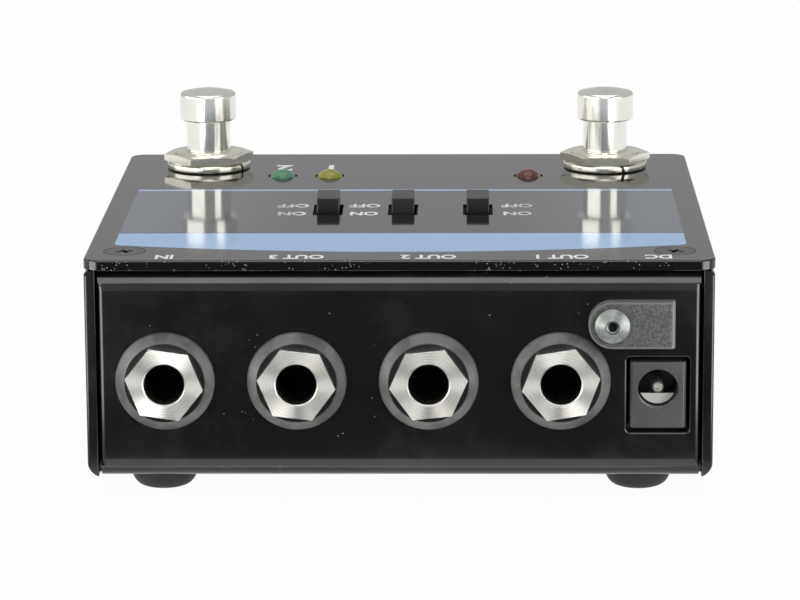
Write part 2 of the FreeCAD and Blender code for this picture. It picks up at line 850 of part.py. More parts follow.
def make_plate_hook():
    """A stepped strap under the plate that reaches below the user side's flange."""
    body = new_body("plate_hook")
    section = new_sketch(body, "YZ_Plane")
    step = "plate_back_y - plate_overhang - rim_flange_width - hook_setback"
    start = step + " - hook_length"
    end = "plate_back_y - plate_overhang - sheet_thickness - hook_setback"
    under_flange = "-sheet_thickness - hook_gap"
    draw_outline(section, [
        (start, "-hook_thickness"),
        (step + " - hook_thickness", "-hook_thickness"),
        (step + " - hook_thickness", under_flange + " - hook_thickness"),
        (end, under_flange + " - hook_thickness"),
        (end, under_flange),
        (step, under_flange),
        (step, "0"),
        (start, "0"),
    ])
    pad(body, section, "hook_width", symmetric=True)
    keep(body, "plate_hook")
    place(body, "0", "0", "tray_top_z")


def make_feet():
    """Four round rubber feet, drawn in towards the tread."""
    feet = []
    for x_side in SIDES:
        for y_side in SIDES:
            foot = turned("rubber_foot", [
                ("0", "0"),
                ("foot_tread_diameter / 2", "0"),
                ("foot_diameter / 2", "foot_height"),
                ("0", "foot_height"),
            ])
            y = "plate_centre_y + %d * (tray_depth / 2 - foot_inset)" % y_side
            place(foot, "%d * foot_x" % x_side, y, "0")
            feet.append(foot)
    group("rubber_feet", feet)


def make_jack(index, name):
    x = jack_x(index)
    body = make_jack_body(name + "_jack_body")
    washer = turned(name + "_jack_washer", [
        ("(jack_neck_diameter + jack_neck_clearance) / 2", "0"),
        ("washer_diameter / 2", "0"),
        ("washer_face_diameter / 2", "washer_thickness"),
        ("(jack_neck_diameter + jack_neck_clearance) / 2", "washer_thickness"),
    ])
    neck = {"diameter": "jack_neck_diameter", "length": "jack_neck_length + washer_thickness"}
    nut = hex_nut(name + "_jack_nut", "jack_nut_flats", "washer_thickness", "jack_nut_height",
                  "jack_bore", JACK_NUT_TURNS[index], neck=neck)
    chamfer_edges(nut, ring_edges(nut, size("jack_bore"), size("nut_proud")), "jack_nut_mouth")
    relief = new_sketch(nut, "XY_Plane", "-jack_neck_length")
    draw_circle(relief, "0", "0", "jack_relief_bore")
    pocket(nut, relief, "jack_neck_length + nut_proud - jack_bore_land", upwards=True)
    for piece in (body, washer, nut):
        keep(piece, piece.Name)
        place(piece, x, "panel_y", "jack_z", OUT_OF_PANEL)


def make_jack_body(name):
    """The moulded body behind the panel, with a square cavity for the nut's neck and the plug."""
    body = new_body(name)
    outline = new_sketch(body, "XY_Plane", "-sheet_thickness")
    draw_rectangle(outline, "-jack_body_width / 2", "-jack_body_drop",
                   "jack_body_width / 2", "jack_body_rise")
    pad(body, outline, "jack_body_length", downwards=True)
    half = size("jack_body_width") / 2
    top_edges = straight_edges(body, 2, (-half, size("jack_body_rise")), (half, size("jack_body_rise")))
    chamfer_edges(body, top_edges, "jack_body_chamfer")
    cavity = new_sketch(body, "XY_Plane", "-sheet_thickness")
    draw_centred_rectangle(cavity, "0", "0", "jack_cavity", "jack_cavity")
    pocket(body, cavity, "jack_body_length - jack_body_end_wall")
    grooves = new_sketch(body, "XY_Plane", "-sheet_thickness - jack_groove_setback")
    legs = new_sketch(body, "XY_Plane", "contact_gap - sheet_thickness - contact_leg_setback")
    for side in SIDES:
        wall = "%d * jack_body_width / 2" % side
        draw_centred_rectangle(grooves, wall, "0", "2 * jack_groove_depth", "jack_groove_height")
        middle = "-(jack_body_drop + contact_gap) / 2"
        draw_centred_rectangle(legs, wall, middle, "2 * jack_groove_depth", "jack_body_drop + contact_gap")
    pocket(body, grooves, "jack_body_length")
    pocket(body, legs, "contact_leg_width + 2 * contact_gap")
    return body


def make_jack_contacts():
    """Flat contact springs in the grooves of the jack bodies, with legs through the main board."""
    contacts = []
    inset = "(jack_groove_depth - contact_thickness)"
    for index in range(len(JACKS)):
        for side in SIDES:
            face = "%s + %d * (jack_body_width / 2 - %s)" % (jack_x(index), side, inset)
            x = face + " - contact_thickness" if side > 0 else face
            leaf_y = "panel_y + sheet_thickness + jack_groove_setback + contact_gap"
            leg_y = "panel_y + sheet_thickness + contact_leg_setback"
            leg_z = "main_board_top_z - board_thickness - contact_leg_tail"
            leaf = block("contact_leaf", x, leaf_y, "jack_z - contact_height / 2",
                         "contact_thickness", "contact_length", "contact_height")
            leg = block("contact_leg", x, leg_y, leg_z,
                        "contact_thickness", "contact_leg_width", "jack_z - (%s)" % leg_z)
            contacts.append(fused("contact", [leaf, leg]))
    group("jack_contacts", contacts)


def make_power_socket():
    """The moulded power socket with its centre pin and the folded leaf of its sleeve contact."""
    body = new_body("dc_socket_body")
    face = new_sketch(body, "XY_Plane")
    half = "socket_width / 2"
    draw_rectangle(face, "-" + half, "-socket_hole_height", half, "socket_rise")
    pad(body, face, "socket_face_depth", downwards=True)
    edges = [(side * size("socket_width") / 2, 0) for side in SIDES]
    chamfer_edges(body, straight_edges(body, 1, *edges), "socket_bevel")
    barrel = new_sketch(body, "XY_Plane", "-socket_face_depth")
    inner = half + " - socket_waist"
    draw_rectangle(barrel, "-(%s)" % inner, "-socket_hole_height", inner, "socket_rise - socket_waist")
    pad(body, barrel, "socket_length - socket_face_depth", downwards=True)
    top = number("socket_rise - socket_waist")
    shoulders = [(side * number(inner), top) for side in SIDES]
    round_edges(body, straight_edges(body, 2, *shoulders),
                "min(socket_shoulder; socket_width / 2 - 2 * socket_waist)")
    bore = new_sketch(body, "XY_Plane")
    draw_circle(bore, "0", "0", "socket_bore")
    pocket(body, bore, "socket_bore_depth")

    pin = turned("dc_pin", [
        ("0", "-socket_bore_depth"),
        ("socket_pin_diameter / 2", "-socket_bore_depth"),
        ("socket_pin_diameter / 2", "-socket_pin_setback"),
        ("0", "-socket_pin_setback"),
    ])

    leaf = new_body("dc_sleeve_contact")
    fold = new_sketch(leaf, "XY_Plane", "-socket_leaf_setback")
    draw_outline(fold, [
        ("-socket_leaf_reach", "socket_leaf_top", "socket_leaf_radius"),
        ("socket_leaf_reach", "socket_leaf_top"),
    ])
    pad(leaf, fold, "socket_leaf_thickness", downwards=True)
    strip = new_sketch(leaf, "XY_Plane", "-socket_leaf_setback")
    draw_rectangle(strip, "-socket_leaf_width / 2", "socket_leaf_thickness - socket_leaf_radius",
                   "socket_leaf_width / 2", "2 * socket_leaf_thickness - socket_leaf_radius")
    pad(leaf, strip, "socket_leaf_length", downwards=True)
    for piece in (body, pin, leaf):
        keep(piece, piece.Name)
        place(piece, "socket_x", "panel_y", "socket_hole_z", OUT_OF_PANEL)


def make_cable_clamp():
    """A strap folded double under a button-head screw, with its nut behind the panel."""
    clamp = new_body("cable_clamp")
    strap = new_sketch(clamp, "XY_Plane")
    draw_rectangle(strap, "0", "-clamp_height / 2", "clamp_reach", "clamp_height / 2")
    pad(clamp, strap, "clamp_thickness")
    end = new_sketch(clamp, "XY_Plane")
    draw_circle(end, "0", "0", "clamp_height")
    pad(clamp, end, "clamp_thickness")
    fold = straight_edges(clamp, 1, (size("clamp_reach"), 0), (size("clamp_reach"), size("clamp_thickness")))
    round_edges(clamp, fold, "clamp_fold_radius")
    slit = new_sketch(clamp, "XZ_Plane")
    draw_rectangle(slit, "-clamp_height", "(clamp_thickness - clamp_slit) / 2",
                   "clamp_reach - clamp_fold", "(clamp_thickness + clamp_slit) / 2")
    pocket(clamp, slit, "2 * clamp_height", symmetric=True)
    hole = new_sketch(clamp, "XY_Plane", "clamp_thickness")
    draw_circle(hole, "0", "0", "clamp_screw_shank + screw_clearance")
    pocket(clamp, hole)

    screw = turned("clamp_screw", [
        ("0", "clamp_thickness - clamp_screw_length"),
        ("clamp_screw_shank / 2", "clamp_thickness - clamp_screw_length"),
        ("clamp_screw_shank / 2", "clamp_thickness"),
        ("clamp_screw_head / 2", "clamp_thickness"),
        ("clamp_screw_head / 2", "clamp_proud"),
        ("0", "clamp_proud"),
    ])
    crown = ring_edges(screw, size("clamp_screw_head"), size("clamp_proud"))
    chamfer_edges(screw, crown, "clamp_screw_crown")
    socket = new_sketch(screw, "XY_Plane", "clamp_proud")
    draw_hexagon(socket, "clamp_screw_socket", 0)
    pocket(screw, socket, "clamp_screw_socket_depth")

    nut = hex_nut("clamp_nut", "clamp_nut_flats", "-sheet_thickness - clamp_nut_height",
                  "clamp_nut_height", "clamp_screw_shank + 2 * thread_fit")
    for piece in (clamp, screw, nut):
        keep(piece, piece.Name)
        place(piece, "clamp_screw_x", "panel_y", "clamp_screw_z", OUT_OF_PANEL)


def main_standoff_spots():
    return [("%d * main_standoff_x" % side, "main_standoff_from_front") for side in SIDES]


def upper_standoff_spots():
    return [
        ("%d * upper_standoff_x" % side, distance)
        for side in SIDES
        for distance in ("upper_standoff_front", "upper_standoff_back")
    ]


def make_main_board():
    """The lower board, which carries the jacks and the power socket."""
    body = new_body("main_board")
    outline = new_sketch(body, "XY_Plane")
    half = "main_board_width / 2"
    draw_rectangle(outline, "-" + half, "main_board_front", half, "main_board_back")
    pad(body, outline, "board_thickness", downwards=True)
    holes = new_sketch(body, "XY_Plane")
    for x, distance in main_standoff_spots():
        draw_circle(holes, x, distance, "board_screw_shank + screw_clearance")
    leg_y = "plate_overhang + sheet_thickness + contact_leg_setback + contact_leg_width / 2"
    for index in range(len(JACKS)):
        for side in SIDES:
            middle = "jack_body_width / 2 - jack_groove_depth + contact_thickness / 2"
            draw_centred_rectangle(holes, "%s + %d * (%s)" % (jack_x(index), side, middle), leg_y,
                                   "contact_thickness + pin_hole_clearance",
                                   "contact_leg_width + pin_hole_clearance")
    pocket(body, holes)
    keep(body, "main_board")
    place(body, "0", "plate_front_y", "main_board_top_z")


def slide_terminal_spots(x):
    """The six terminal places of one slide switch, from the jack edge of the plate."""
    return [
        ("(%s) + %d * terminal_row" % (x, side), "slide_from_front + %d * terminal_pitch" % step)
        for side in SIDES
        for step in (-1, 0, 1)
    ]


def lamp_lead_spots(x):
    return [("%s + %d * lamp_lead_pitch / 2" % (x, side), "lamp_from_front") for side in SIDES]


def make_switch_board():
    """The upper board, which hangs under the plate with the slide switches and lamps."""
    body = new_body("switch_board")
    outline = new_sketch(body, "XY_Plane")
    half = "switch_board_width / 2"
    draw_rectangle(outline, "-" + half, "switch_board_front", half, "switch_board_back")
    pad(body, outline, "board_thickness", downwards=True)
    holes = new_sketch(body, "XY_Plane")
    for x, distance in upper_standoff_spots():
        draw_circle(holes, x, distance, "board_screw_shank + screw_clearance")
    for switch_x in SLIDE_SWITCHES.values():
        for x, distance in slide_terminal_spots(switch_x):
            draw_centred_rectangle(holes, x, distance, "terminal_width + pin_hole_clearance",
                                   "terminal_thickness + pin_hole_clearance")
    for lamp_x in LAMPS.values():
        for x, distance in lamp_lead_spots(lamp_x):
            draw_centred_rectangle(holes, x, distance, "lamp_lead + pin_hole_clearance",
                                   "lamp_lead + pin_hole_clearance")
    pocket(body, holes)
    keep(body, "switch_board")
    place(body, "0", "plate_front_y", "switch_board_top_z")


def make_board_fasteners():
    lower = []
    upper = []
    screws = []
    for x, distance in main_standoff_spots():
        y = "plate_front_y + " + distance
        standoff = hex_nut("main_standoff", "standoff_flats", "0", "main_standoff_height", "standoff_bore")
        place(standoff, x, y, "foot_height + sheet_thickness")
        lower.append(standoff)
        screws.append(make_board_screw(x, y, "main_board_top_z", downwards=True))
    for x, distance in upper_standoff_spots():
        y = "plate_front_y + " + distance
        standoff = hex_nut("upper_standoff", "standoff_flats", "0", "upper_standoff_height", "standoff_bore")
        place(standoff, x, y, "switch_board_top_z")
        upper.append(standoff)
        screws.append(make_board_screw(x, y, "switch_board_top_z - board_thickness", downwards=False))
    group("main_board_standoffs", lower)
    group("switch_board_standoffs", upper)
    group("board_screws", screws)


def make_board_screw(x, y, z, downwards):
    """A hexagon screw whose head lies on the board, with its shank in the standoff."""
    screw = hex_bar("board_screw", "board_screw_flats", "0", "board_screw_head_height")
    add_rod(screw, "board_screw_shank", "0", "board_screw_length")
    turn = FreeCAD.Rotation(FreeCAD.Vector(1, 0, 0), 0 if downwards else 180)
    place(screw, x, y, z, turn)
    return screw


def make_transformer():
    """The isolation transformer on the main board: a bobbin between two flanges in its core."""
    body = new_body("isolation_transformer")
    for height in ("0", "transformer_height - transformer_flange"):
        flange = new_sketch(body, "XY_Plane", height)
        draw_centred_rectangle(flange, "0", "0", "transformer_width", "transformer_depth")
        pad(body, flange, "transformer_flange")
    core = new_sketch(body, "XY_Plane")
    draw_centred_rectangle(core, "0", "0", "transformer_width - 2 * transformer_core_inset",
                           "transformer_core")
    pad(body, core, "transformer_height")
    winding = new_sketch(body, "XY_Plane")
    draw_circle(winding, "0", "0", "transformer_depth - 2 * transformer_flange")
    pad(body, winding, "transformer_height")
    keep(body, "isolation_transformer")
    place(body, "transformer_x", "plate_front_y + transformer_from_front", "main_board_top_z")


def make_board_link():
    """A row of pins between the two boards, held in a strip at each end."""
    length = "(link_pins * link_pitch)"
    y = "plate_front_y + link_from_front"
    rise = "(switch_board_top_z - board_thickness - main_board_top_z)"
    members = []
    for z in ("main_board_top_z", "main_board_top_z + %s - link_pitch" % rise):
        members.append(block("link_strip", "link_x - %s / 2" % length, y + " - link_pitch / 2", z,
                             length, "link_pitch", "link_pitch"))
    for index in range(int(size("link_pins"))):
        x = "link_x - %s / 2 + (%d + 0.5) * link_pitch - link_pin / 2" % (length, index)
        members.append(block("link_pin", x, y + " - link_pin / 2", "main_board_top_z",
                             "link_pin", "link_pin", rise))
    keep(fused("board_link", members), "board_link")


def make_footswitch(name, switch):
    frame = make_footswitch_frame(name + "_footswitch_frame")
    housing = make_footswitch_housing(name + "_footswitch_housing")
    terminals = make_footswitch_terminals(name + "_footswitch_terminals")
    plunger = make_footswitch_plunger(name + "_footswitch_plunger")
    nut = hex_nut(name + "_footswitch_nut", "footswitch_nut_flats", "lock_washer_thickness",
                  "footswitch_nut_height", "footswitch_nut_bore", switch["nut_turn"],
                  "footswitch_nut_chamfer")
    washer = make_lock_washer(name + "_footswitch_washer")
    turns = {washer: switch["split_turn"]}
    for piece in (frame, housing, terminals, plunger, nut, washer):
        keep(piece, piece.Name)
        turn = FreeCAD.Rotation(FreeCAD.Vector(0, 0, 1), turns.get(piece, 0))
        place(piece, switch["x"], "footswitch_y", "plate_top_z", turn)


def make_footswitch_frame(name):
    """The steel frame over the switch's housing with the threaded bushing pressed into it."""
    body = turned(name, [
        ("0", "-bushing_drop"),
        ("bushing_diameter / 2", "-bushing_drop"),
        ("bushing_diameter / 2", "bushing_rise - bushing_bevel"),
        ("bushing_diameter / 2 - bushing_bevel", "bushing_rise"),
        ("0", "bushing_rise"),
    ])
    bridge = new_sketch(body, "XY_Plane", "-bushing_drop")
    draw_centred_rectangle(bridge, "0", "0", "frame_width", "frame_length")
    pad(body, bridge, "frame_thickness", downwards=True)
    legs = new_sketch(body, "XY_Plane", "frame_bottom")
    for side in SIDES:
        draw_centred_rectangle(legs, "0", "%d * (frame_length - frame_thickness) / 2" % side,
                               "frame_leg_width", "frame_thickness")
    pad(body, legs, "frame_leg_length", downwards=True)
    bore = new_sketch(body, "XY_Plane", "bushing_rise")
    draw_circle(bore, "0", "0", "bushing_bore")
    pocket(body, bore)
    return body


def make_footswitch_housing(name):
    body = new_body(name)
    outline = new_sketch(body, "XY_Plane", "frame_bottom")
    draw_centred_rectangle(outline, "0", "0", "switch_body_width", "switch_body_length")
    pad(body, outline, "switch_body_height", downwards=True)
    corners = [
        (x * size("switch_body_width") / 2, y * size("switch_body_length") / 2)
        for x in SIDES
        for y in SIDES
    ]
    chamfer_edges(body, straight_edges(body, 2, *corners), "switch_body_chamfer")
    well = new_sketch(body, "XY_Plane", "frame_bottom")
    draw_circle(well, "0", "0", "plunger_diameter + 2 * plunger_well_gap")
    pocket(body, well, "frame_bottom + plunger_drop + plunger_well")
    return body


def make_footswitch_terminals(name):
    """The board that closes the housing, with nine solder lugs."""
    body = new_body(name)
    base = new_sketch(body, "XY_Plane", "switch_body_bottom")
    draw_centred_rectangle(base, "0", "0", "switch_body_width", "switch_body_length")
    pad(body, base, "lug_base_thickness", downwards=True)
    lugs = new_sketch(body, "XY_Plane", "switch_body_bottom - lug_base_thickness")
    for column in (-1, 0, 1):
        for row in (-1, 0, 1):
            draw_centred_rectangle(lugs, "%d * lug_pitch" % column, "%d * lug_pitch" % row,
                                   "lug_width", "lug_thickness")
    pad(body, lugs, "lug_length", downwards=True)
    return body


def make_footswitch_plunger(name):
    """The part that the foot presses: a domed cap on a neck that runs in the bushing."""
    body = turned(name, [
        ("0", "-plunger_drop"),
        ("plunger_diameter / 2", "-plunger_drop"),
        ("plunger_diameter / 2", "cap_bottom"),
        ("cap_diameter / 2", "cap_bottom"),
        ("cap_diameter / 2", "cap_side_top"),
        ("cap_shoulder_diameter / 2", "cap_shoulder_top"),
        ("cap_crown_diameter / 2", "cap_top"),
        ("0", "cap_top"),
    ])
    return body


def make_lock_washer(name):
    """A ring with one cut through it, which lies towards +X before the washer is turned."""
    body = ring(name, "lock_washer_diameter", "footswitch_hole", "0", "lock_washer_thickness")
    split = new_sketch(body, "XY_Plane", "lock_washer_thickness")
    draw_rectangle(split, "0", "-lock_washer_split / 2", "lock_washer_diameter", "lock_washer_split / 2")
    pocket(body, split)
    return body


def make_back_nuts():
    nuts = []
    for switch in FOOTSWITCHES.values():
        nut = hex_nut("back_nut", "footswitch_nut_flats", "-plate_thickness - back_nut_height",
                      "back_nut_height", "footswitch_nut_bore", switch["nut_turn"])
        place(nut, switch["x"], "footswitch_y", "plate_top_z")
        nuts.append(nut)
    group("footswitch_back_nuts", nuts)


def make_slide_switch(name, x):
    for piece in (make_slide_frame(name + "_slide_frame"), make_slide_knob(name + "_slide_knob")):
        keep(piece, piece.Name)
        place(piece, x, "slide_y", "plate_top_z")


def make_slide_frame(name):
    """A steel cover, open below, with the slot that the knob runs in."""
    body = new_body(name)
    outline = new_sketch(body, "XY_Plane", "slide_frame_top")
    draw_centred_rectangle(outline, "0", "0", "slide_frame_width", "slide_frame_length")
    pad(body, outline, "slide_frame_height", downwards=True)
    inside = new_sketch(body, "XY_Plane", "switch_board_top")
    draw_centred_rectangle(inside, "0", "0", "slide_frame_width - 2 * slide_frame_wall",
                           "slide_frame_length - 2 * slide_frame_wall")
    pocket(body, inside, "slide_frame_height - slide_frame_wall", upwards=True)
    slot = new_sketch(body, "XY_Plane", "slide_frame_top")
    draw_centred_rectangle(slot, "0", "0", "slide_frame_slot_width", "slide_frame_slot_length")
    pocket(body, slot)
    return body


def make_slide_knob(name):
    """The black knob, whose top slopes, on the slider that keeps it in the frame."""
    body = new_body(name)
    side_view = new_sketch(body, "YZ_Plane")
    middle = "knob_travel / 2"
    front = middle + " - knob_length / 2"
    back = middle + " + knob_length / 2"
    slider_top = "slide_frame_top - slide_frame_wall - slide_frame_gap"
    draw_outline(side_view, [
        (front, slider_top + " - slider_height"),
        (back, slider_top + " - slider_height"),
        (back, "knob_height"),
        (front, "knob_face_height"),
    ])
    pad(body, side_view, "knob_width", symmetric=True)
    slider = new_sketch(body, "XY_Plane", slider_top)
    draw_centred_rectangle(slider, "0", middle, "slider_width", "slider_length")
    pad(body, slider, "slider_height", downwards=True)
    return body


def make_slide_terminals():
    """The wafers that close the slide switches, each with six pins through the board."""
    wafers = []
    for x in SLIDE_SWITCHES.values():
        body = new_body("slide_wafer")
        base = new_sketch(body, "XY_Plane", "switch_board_top")
        walls = " - 2 * (slide_frame_wall + wafer_fit)"
        draw_centred_rectangle(base, "0", "0", "slide_frame_width" + walls, "slide_frame_length" + walls)
        pad(body, base, "wafer_thickness")
        pins = new_sketch(body, "XY_Plane", "switch_board_top")
        for pin_x, distance in slide_terminal_spots("0"):
            draw_centred_rectangle(pins, pin_x, distance + " - slide_from_front",
                                   "terminal_width", "terminal_thickness")
        pad(body, pins, "board_thickness + terminal_tail", downwards=True)
        place(body, x, "slide_y", "plate_top_z")
        wafers.append(body)
    group("slide_switch_terminals", wafers)


def make_lamps():
    """Round indicator lamps that stand a little above the plate, and their leads."""
    leads = []
    for colour, x in LAMPS.items():
        lamp = turned(colour + "_lamp", [
            ("0", "lamp_bottom"),
            ("lamp_diameter / 2", "lamp_bottom"),
            ("lamp_diameter / 2", "lamp_rise - lamp_side_drop"),
            ("lamp_crown_diameter / 2", "lamp_rise"),
            ("0", "lamp_rise"),
        ])
        keep(lamp, lamp.Name)
        place(lamp, x, "lamp_y", "plate_top_z")
        for lead_x, distance in lamp_lead_spots(x):
            bottom = "switch_board_top_z - board_thickness - terminal_tail"
            leads.append(block("lamp_lead", lead_x + " - lamp_lead / 2",
                               "plate_front_y + %s - lamp_lead / 2" % distance, bottom,
                               "lamp_lead", "lamp_lead", "plate_top_z + lamp_bottom - (%s)" % bottom))
    group("lamp_leads", leads)


def check_document():
    """Stop if any object failed or any sub-part has no valid shape."""
    for item in doc.Objects:
        if "Invalid" in item.State or "Error" in item.State:
            raise RuntimeError("%s failed: %s" % (item.Name, item.State))
    labels = [piece.Label for piece in sub_parts]
    if len(set(labels)) != len(labels):
        raise RuntimeError("two sub-parts share a name")
    for piece in sub_parts:
        if piece.Shape.isNull() or not piece.Shape.isValid():
            raise RuntimeError(piece.Label + " has no valid shape")


def write_parts():
    os.makedirs("parts", exist_ok=True)
    for piece in sub_parts:
        piece.Shape.exportStep("parts/%s.step" % piece.Label)
        print("%-28s solids %2d  volume %10.1f" % (piece.Label, len(piece.Shape.Solids), piece.Shape.Volume))


fill_sheet()
make_tray()
make_plate()
make_cover_screws()
make_cover_nuts()
make_plate_hook()
make_feet()
for jack_index, jack_name in enumerate(JACKS):
    make_jack(jack_index, jack_name)
make_jack_contacts()
make_power_socket()
make_cable_clamp()
make_main_board()
make_switch_board()
make_board_fasteners()
make_transformer()
make_board_link()
for footswitch_name, footswitch in FOOTSWITCHES.items():
    make_footswitch(footswitch_name, footswitch)
make_back_nuts()
for slide_name, slide_x in SLIDE_SWITCHES.items():
    make_slide_switch(slide_name, slide_x)
make_slide_terminals()
make_lamps()
doc.recompute()
check_document()
write_parts()
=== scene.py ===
import math

import bmesh
import bpy
from mathutils import Matrix, Vector


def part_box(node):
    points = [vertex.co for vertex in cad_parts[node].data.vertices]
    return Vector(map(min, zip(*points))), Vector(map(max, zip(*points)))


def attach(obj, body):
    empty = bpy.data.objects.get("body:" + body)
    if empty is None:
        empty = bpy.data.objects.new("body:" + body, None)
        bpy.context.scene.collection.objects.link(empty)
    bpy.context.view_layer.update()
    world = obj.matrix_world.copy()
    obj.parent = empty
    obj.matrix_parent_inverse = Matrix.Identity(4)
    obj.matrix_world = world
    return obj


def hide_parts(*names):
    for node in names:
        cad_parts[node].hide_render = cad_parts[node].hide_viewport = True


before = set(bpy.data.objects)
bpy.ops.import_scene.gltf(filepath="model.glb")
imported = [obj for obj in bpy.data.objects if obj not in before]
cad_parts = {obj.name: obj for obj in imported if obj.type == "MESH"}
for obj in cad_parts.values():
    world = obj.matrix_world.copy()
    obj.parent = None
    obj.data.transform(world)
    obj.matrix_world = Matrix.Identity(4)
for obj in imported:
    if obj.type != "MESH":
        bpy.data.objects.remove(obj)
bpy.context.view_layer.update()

# The dressed switch pedal, in metres. The jack panel faces -Y and +Z is up.

JACKS = ("input", "tuner", "output_b", "output_a")
SIDES = ("left", "right")
SLIDES = ("left", "middle", "right")
LAMPS = ("green", "yellow", "red")

# Places that the frame gives
PLATE_LOW, PLATE_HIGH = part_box("top_plate")
TRAY_LOW, TRAY_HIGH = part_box("base_tray")
PANEL_Y = TRAY_LOW.y
PLATE_TOP = PLATE_HIGH.z
PLATE_MIDDLE = (PLATE_LOW + PLATE_HIGH) / 2


def middle_of(node):
    low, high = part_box(node)
    return (low + high) / 2


def size_of(node):
    low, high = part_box(node)
    return high - low


# Mesh helpers

OUT_OF_PANEL = Matrix.Rotation(math.radians(90), 4, "X")
SAME_PLACE = 1e-6
NODE_SAME_PLACE = 2e-6
FLAT_ANGLE = 0.5
EDGE_ANGLE = 34
SMOOTH_ANGLE = 40

# Small steps and gaps in the profiles, and how far a cutter reaches past a piece
STEP = 0.0001
BEYOND = 0.02


def clean(bm):
    """Merge doubles and point every face outwards."""
    bmesh.ops.remove_doubles(bm, verts=bm.verts, dist=SAME_PLACE)
    bmesh.ops.recalc_face_normals(bm, faces=bm.faces)


def make_object(bm, name, material, smooth=True):
    clean(bm)
    mesh = bpy.data.meshes.new(name)
    bm.to_mesh(mesh)
    bm.free()
    piece = bpy.data.objects.new(name, mesh)
    bpy.context.scene.collection.objects.link(piece)
    if material:
        mesh.materials.append(material)
    for face in mesh.polygons:
        face.use_smooth = smooth
    return piece


def apply_modifiers(piece):
    """Keep the mesh that the piece's modifiers give, and take them off."""
    graph = bpy.context.evaluated_depsgraph_get()
    mesh = bpy.data.meshes.new_from_object(piece.evaluated_get(graph))
    old = piece.data
    piece.modifiers.clear()
    piece.data = mesh
    mesh.name = piece.name
    bpy.data.meshes.remove(old)


def combine(piece, tool, operation):
    """Cut the tool's shape out of the piece, or keep only what lies inside it."""
    modifier = piece.modifiers.new("combine", "BOOLEAN")
    modifier.object = tool
    modifier.operation = operation
    modifier.solver = "EXACT"
    apply_modifiers(piece)
    mesh = tool.data
    bpy.data.objects.remove(tool)
    bpy.data.meshes.remove(mesh)
    return piece


def soften(piece, width=0.0, angle=EDGE_ANGLE, segments=2):
    """Round the piece's sharp edges, if a width is given, and keep its flat faces flat in shading."""
    if width:
        modifier = piece.modifiers.new("edges", "BEVEL")
        modifier.width = width
        modifier.segments = segments
        modifier.limit_method = "ANGLE"
        modifier.angle_limit = math.radians(angle)
        modifier.use_clamp_overlap = True
        apply_modifiers(piece)
    for face in piece.data.polygons:
        face.use_smooth = True
    piece.data.set_sharp_from_angle(angle=math.radians(SMOOTH_ANGLE))
    weighted = piece.modifiers.new("shading", "WEIGHTED_NORMAL")
    weighted.keep_sharp = True
    weighted.weight = 100
    return piece


def round_edges(bm, chosen, width, segments):
    """Round the edges whose two ends both pass the test."""
    edges = [edge for edge in bm.edges if all(chosen(vert.co) for vert in edge.verts)]
    bmesh.ops.bevel(bm, geom=edges, offset=width, segments=segments, profile=0.5,
                    affect="EDGES", clamp_overlap=False, material=-1)


def lathe(profile, steps=64):
    """A closed solid turned about Z from (radius, height) points."""
    bm = bmesh.new()
    points = [bm.verts.new((radius, 0, height)) for radius, height in profile]
    edges = [bm.edges.new(pair) for pair in zip(points, points[1:])]
    if profile[0][0] > 0 and profile[-1][0] > 0:
        edges.append(bm.edges.new((points[-1], points[0])))
    bmesh.ops.spin(bm, geom=points + edges, cent=(0, 0, 0), axis=(0, 0, 1),
                   angle=2 * math.pi, steps=steps, use_merge=True)
    clean(bm)
    return bm


def arc(centre, radius, start, end, steps, rise=None):
    """Points of a (radius, height) profile along an arc, or an oval where a rise is given, in degrees."""
    angles = [math.radians(start + (end - start) * step / steps) for step in range(steps + 1)]
    rise = rise or radius
    return [(centre[0] + radius * math.cos(a), centre[1] + rise * math.sin(a)) for a in angles]


def raise_faces(bm, height):
    """Make a straight solid from the flat faces."""
    raised = bmesh.ops.extrude_face_region(bm, geom=list(bm.faces))["geom"]
    corners = [item for item in raised if isinstance(item, bmesh.types.BMVert)]
    bmesh.ops.translate(bm, verts=corners, vec=(0, 0, height))


def prism(outline, bottom, top):
    """A straight solid over an outline of (x, y) points."""
    bm = bmesh.new()
    bm.faces.new([bm.verts.new((x, y, bottom)) for x, y in outline])
    raise_faces(bm, top - bottom)
    clean(bm)
    return bm


def rectangle(width, depth, x=0.0, y=0.0):
    return [(x - width / 2, y - depth / 2), (x + width / 2, y - depth / 2),
            (x + width / 2, y + depth / 2), (x - width / 2, y + depth / 2)]


def hexagon(flats, turn=0.0):
    corner = flats / math.sqrt(3)
    angles = [math.radians(turn + 60 * index) for index in range(6)]
    return [(corner * math.cos(angle), corner * math.sin(angle)) for angle in angles]


def cylinder_profile(radius, low, high):
    return [(0, low), (radius, low), (radius, high), (0, high)]


def moved(bm, place, turn=None):
    matrix = Matrix.Translation(place)
    if turn is not None:
        matrix = matrix @ turn
    bmesh.ops.transform(bm, matrix=matrix, verts=bm.verts)
    return bm


def join_shape(bm, part):
    """Add a second shape to the first."""
    mesh = bpy.data.meshes.new("part")
    part.to_mesh(mesh)
    part.free()
    bm.from_mesh(mesh)
    bpy.data.meshes.remove(mesh)


def copy_of(node):
    """A node's own mesh with its doubles merged and its flat faces joined."""
    bm = bmesh.new()
    bm.from_mesh(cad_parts[node].data)
    bmesh.ops.remove_doubles(bm, verts=bm.verts, dist=NODE_SAME_PLACE)
    bmesh.ops.dissolve_limit(bm, angle_limit=math.radians(FLAT_ANGLE), verts=bm.verts,
                             edges=bm.edges)
    return bm


def place_on_panel(node):
    """Where a round piece's axis meets its front face, and how deep the piece is."""
    low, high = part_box(node)
    return ((low.x + high.x) / 2, low.y, (low.z + high.z) / 2), high.y - low.y


def turned(name, material, profile, steps, place, turn=None):
    """A lathed piece in its place."""
    return soften(make_object(moved(lathe(profile, steps), place, turn), name, material))


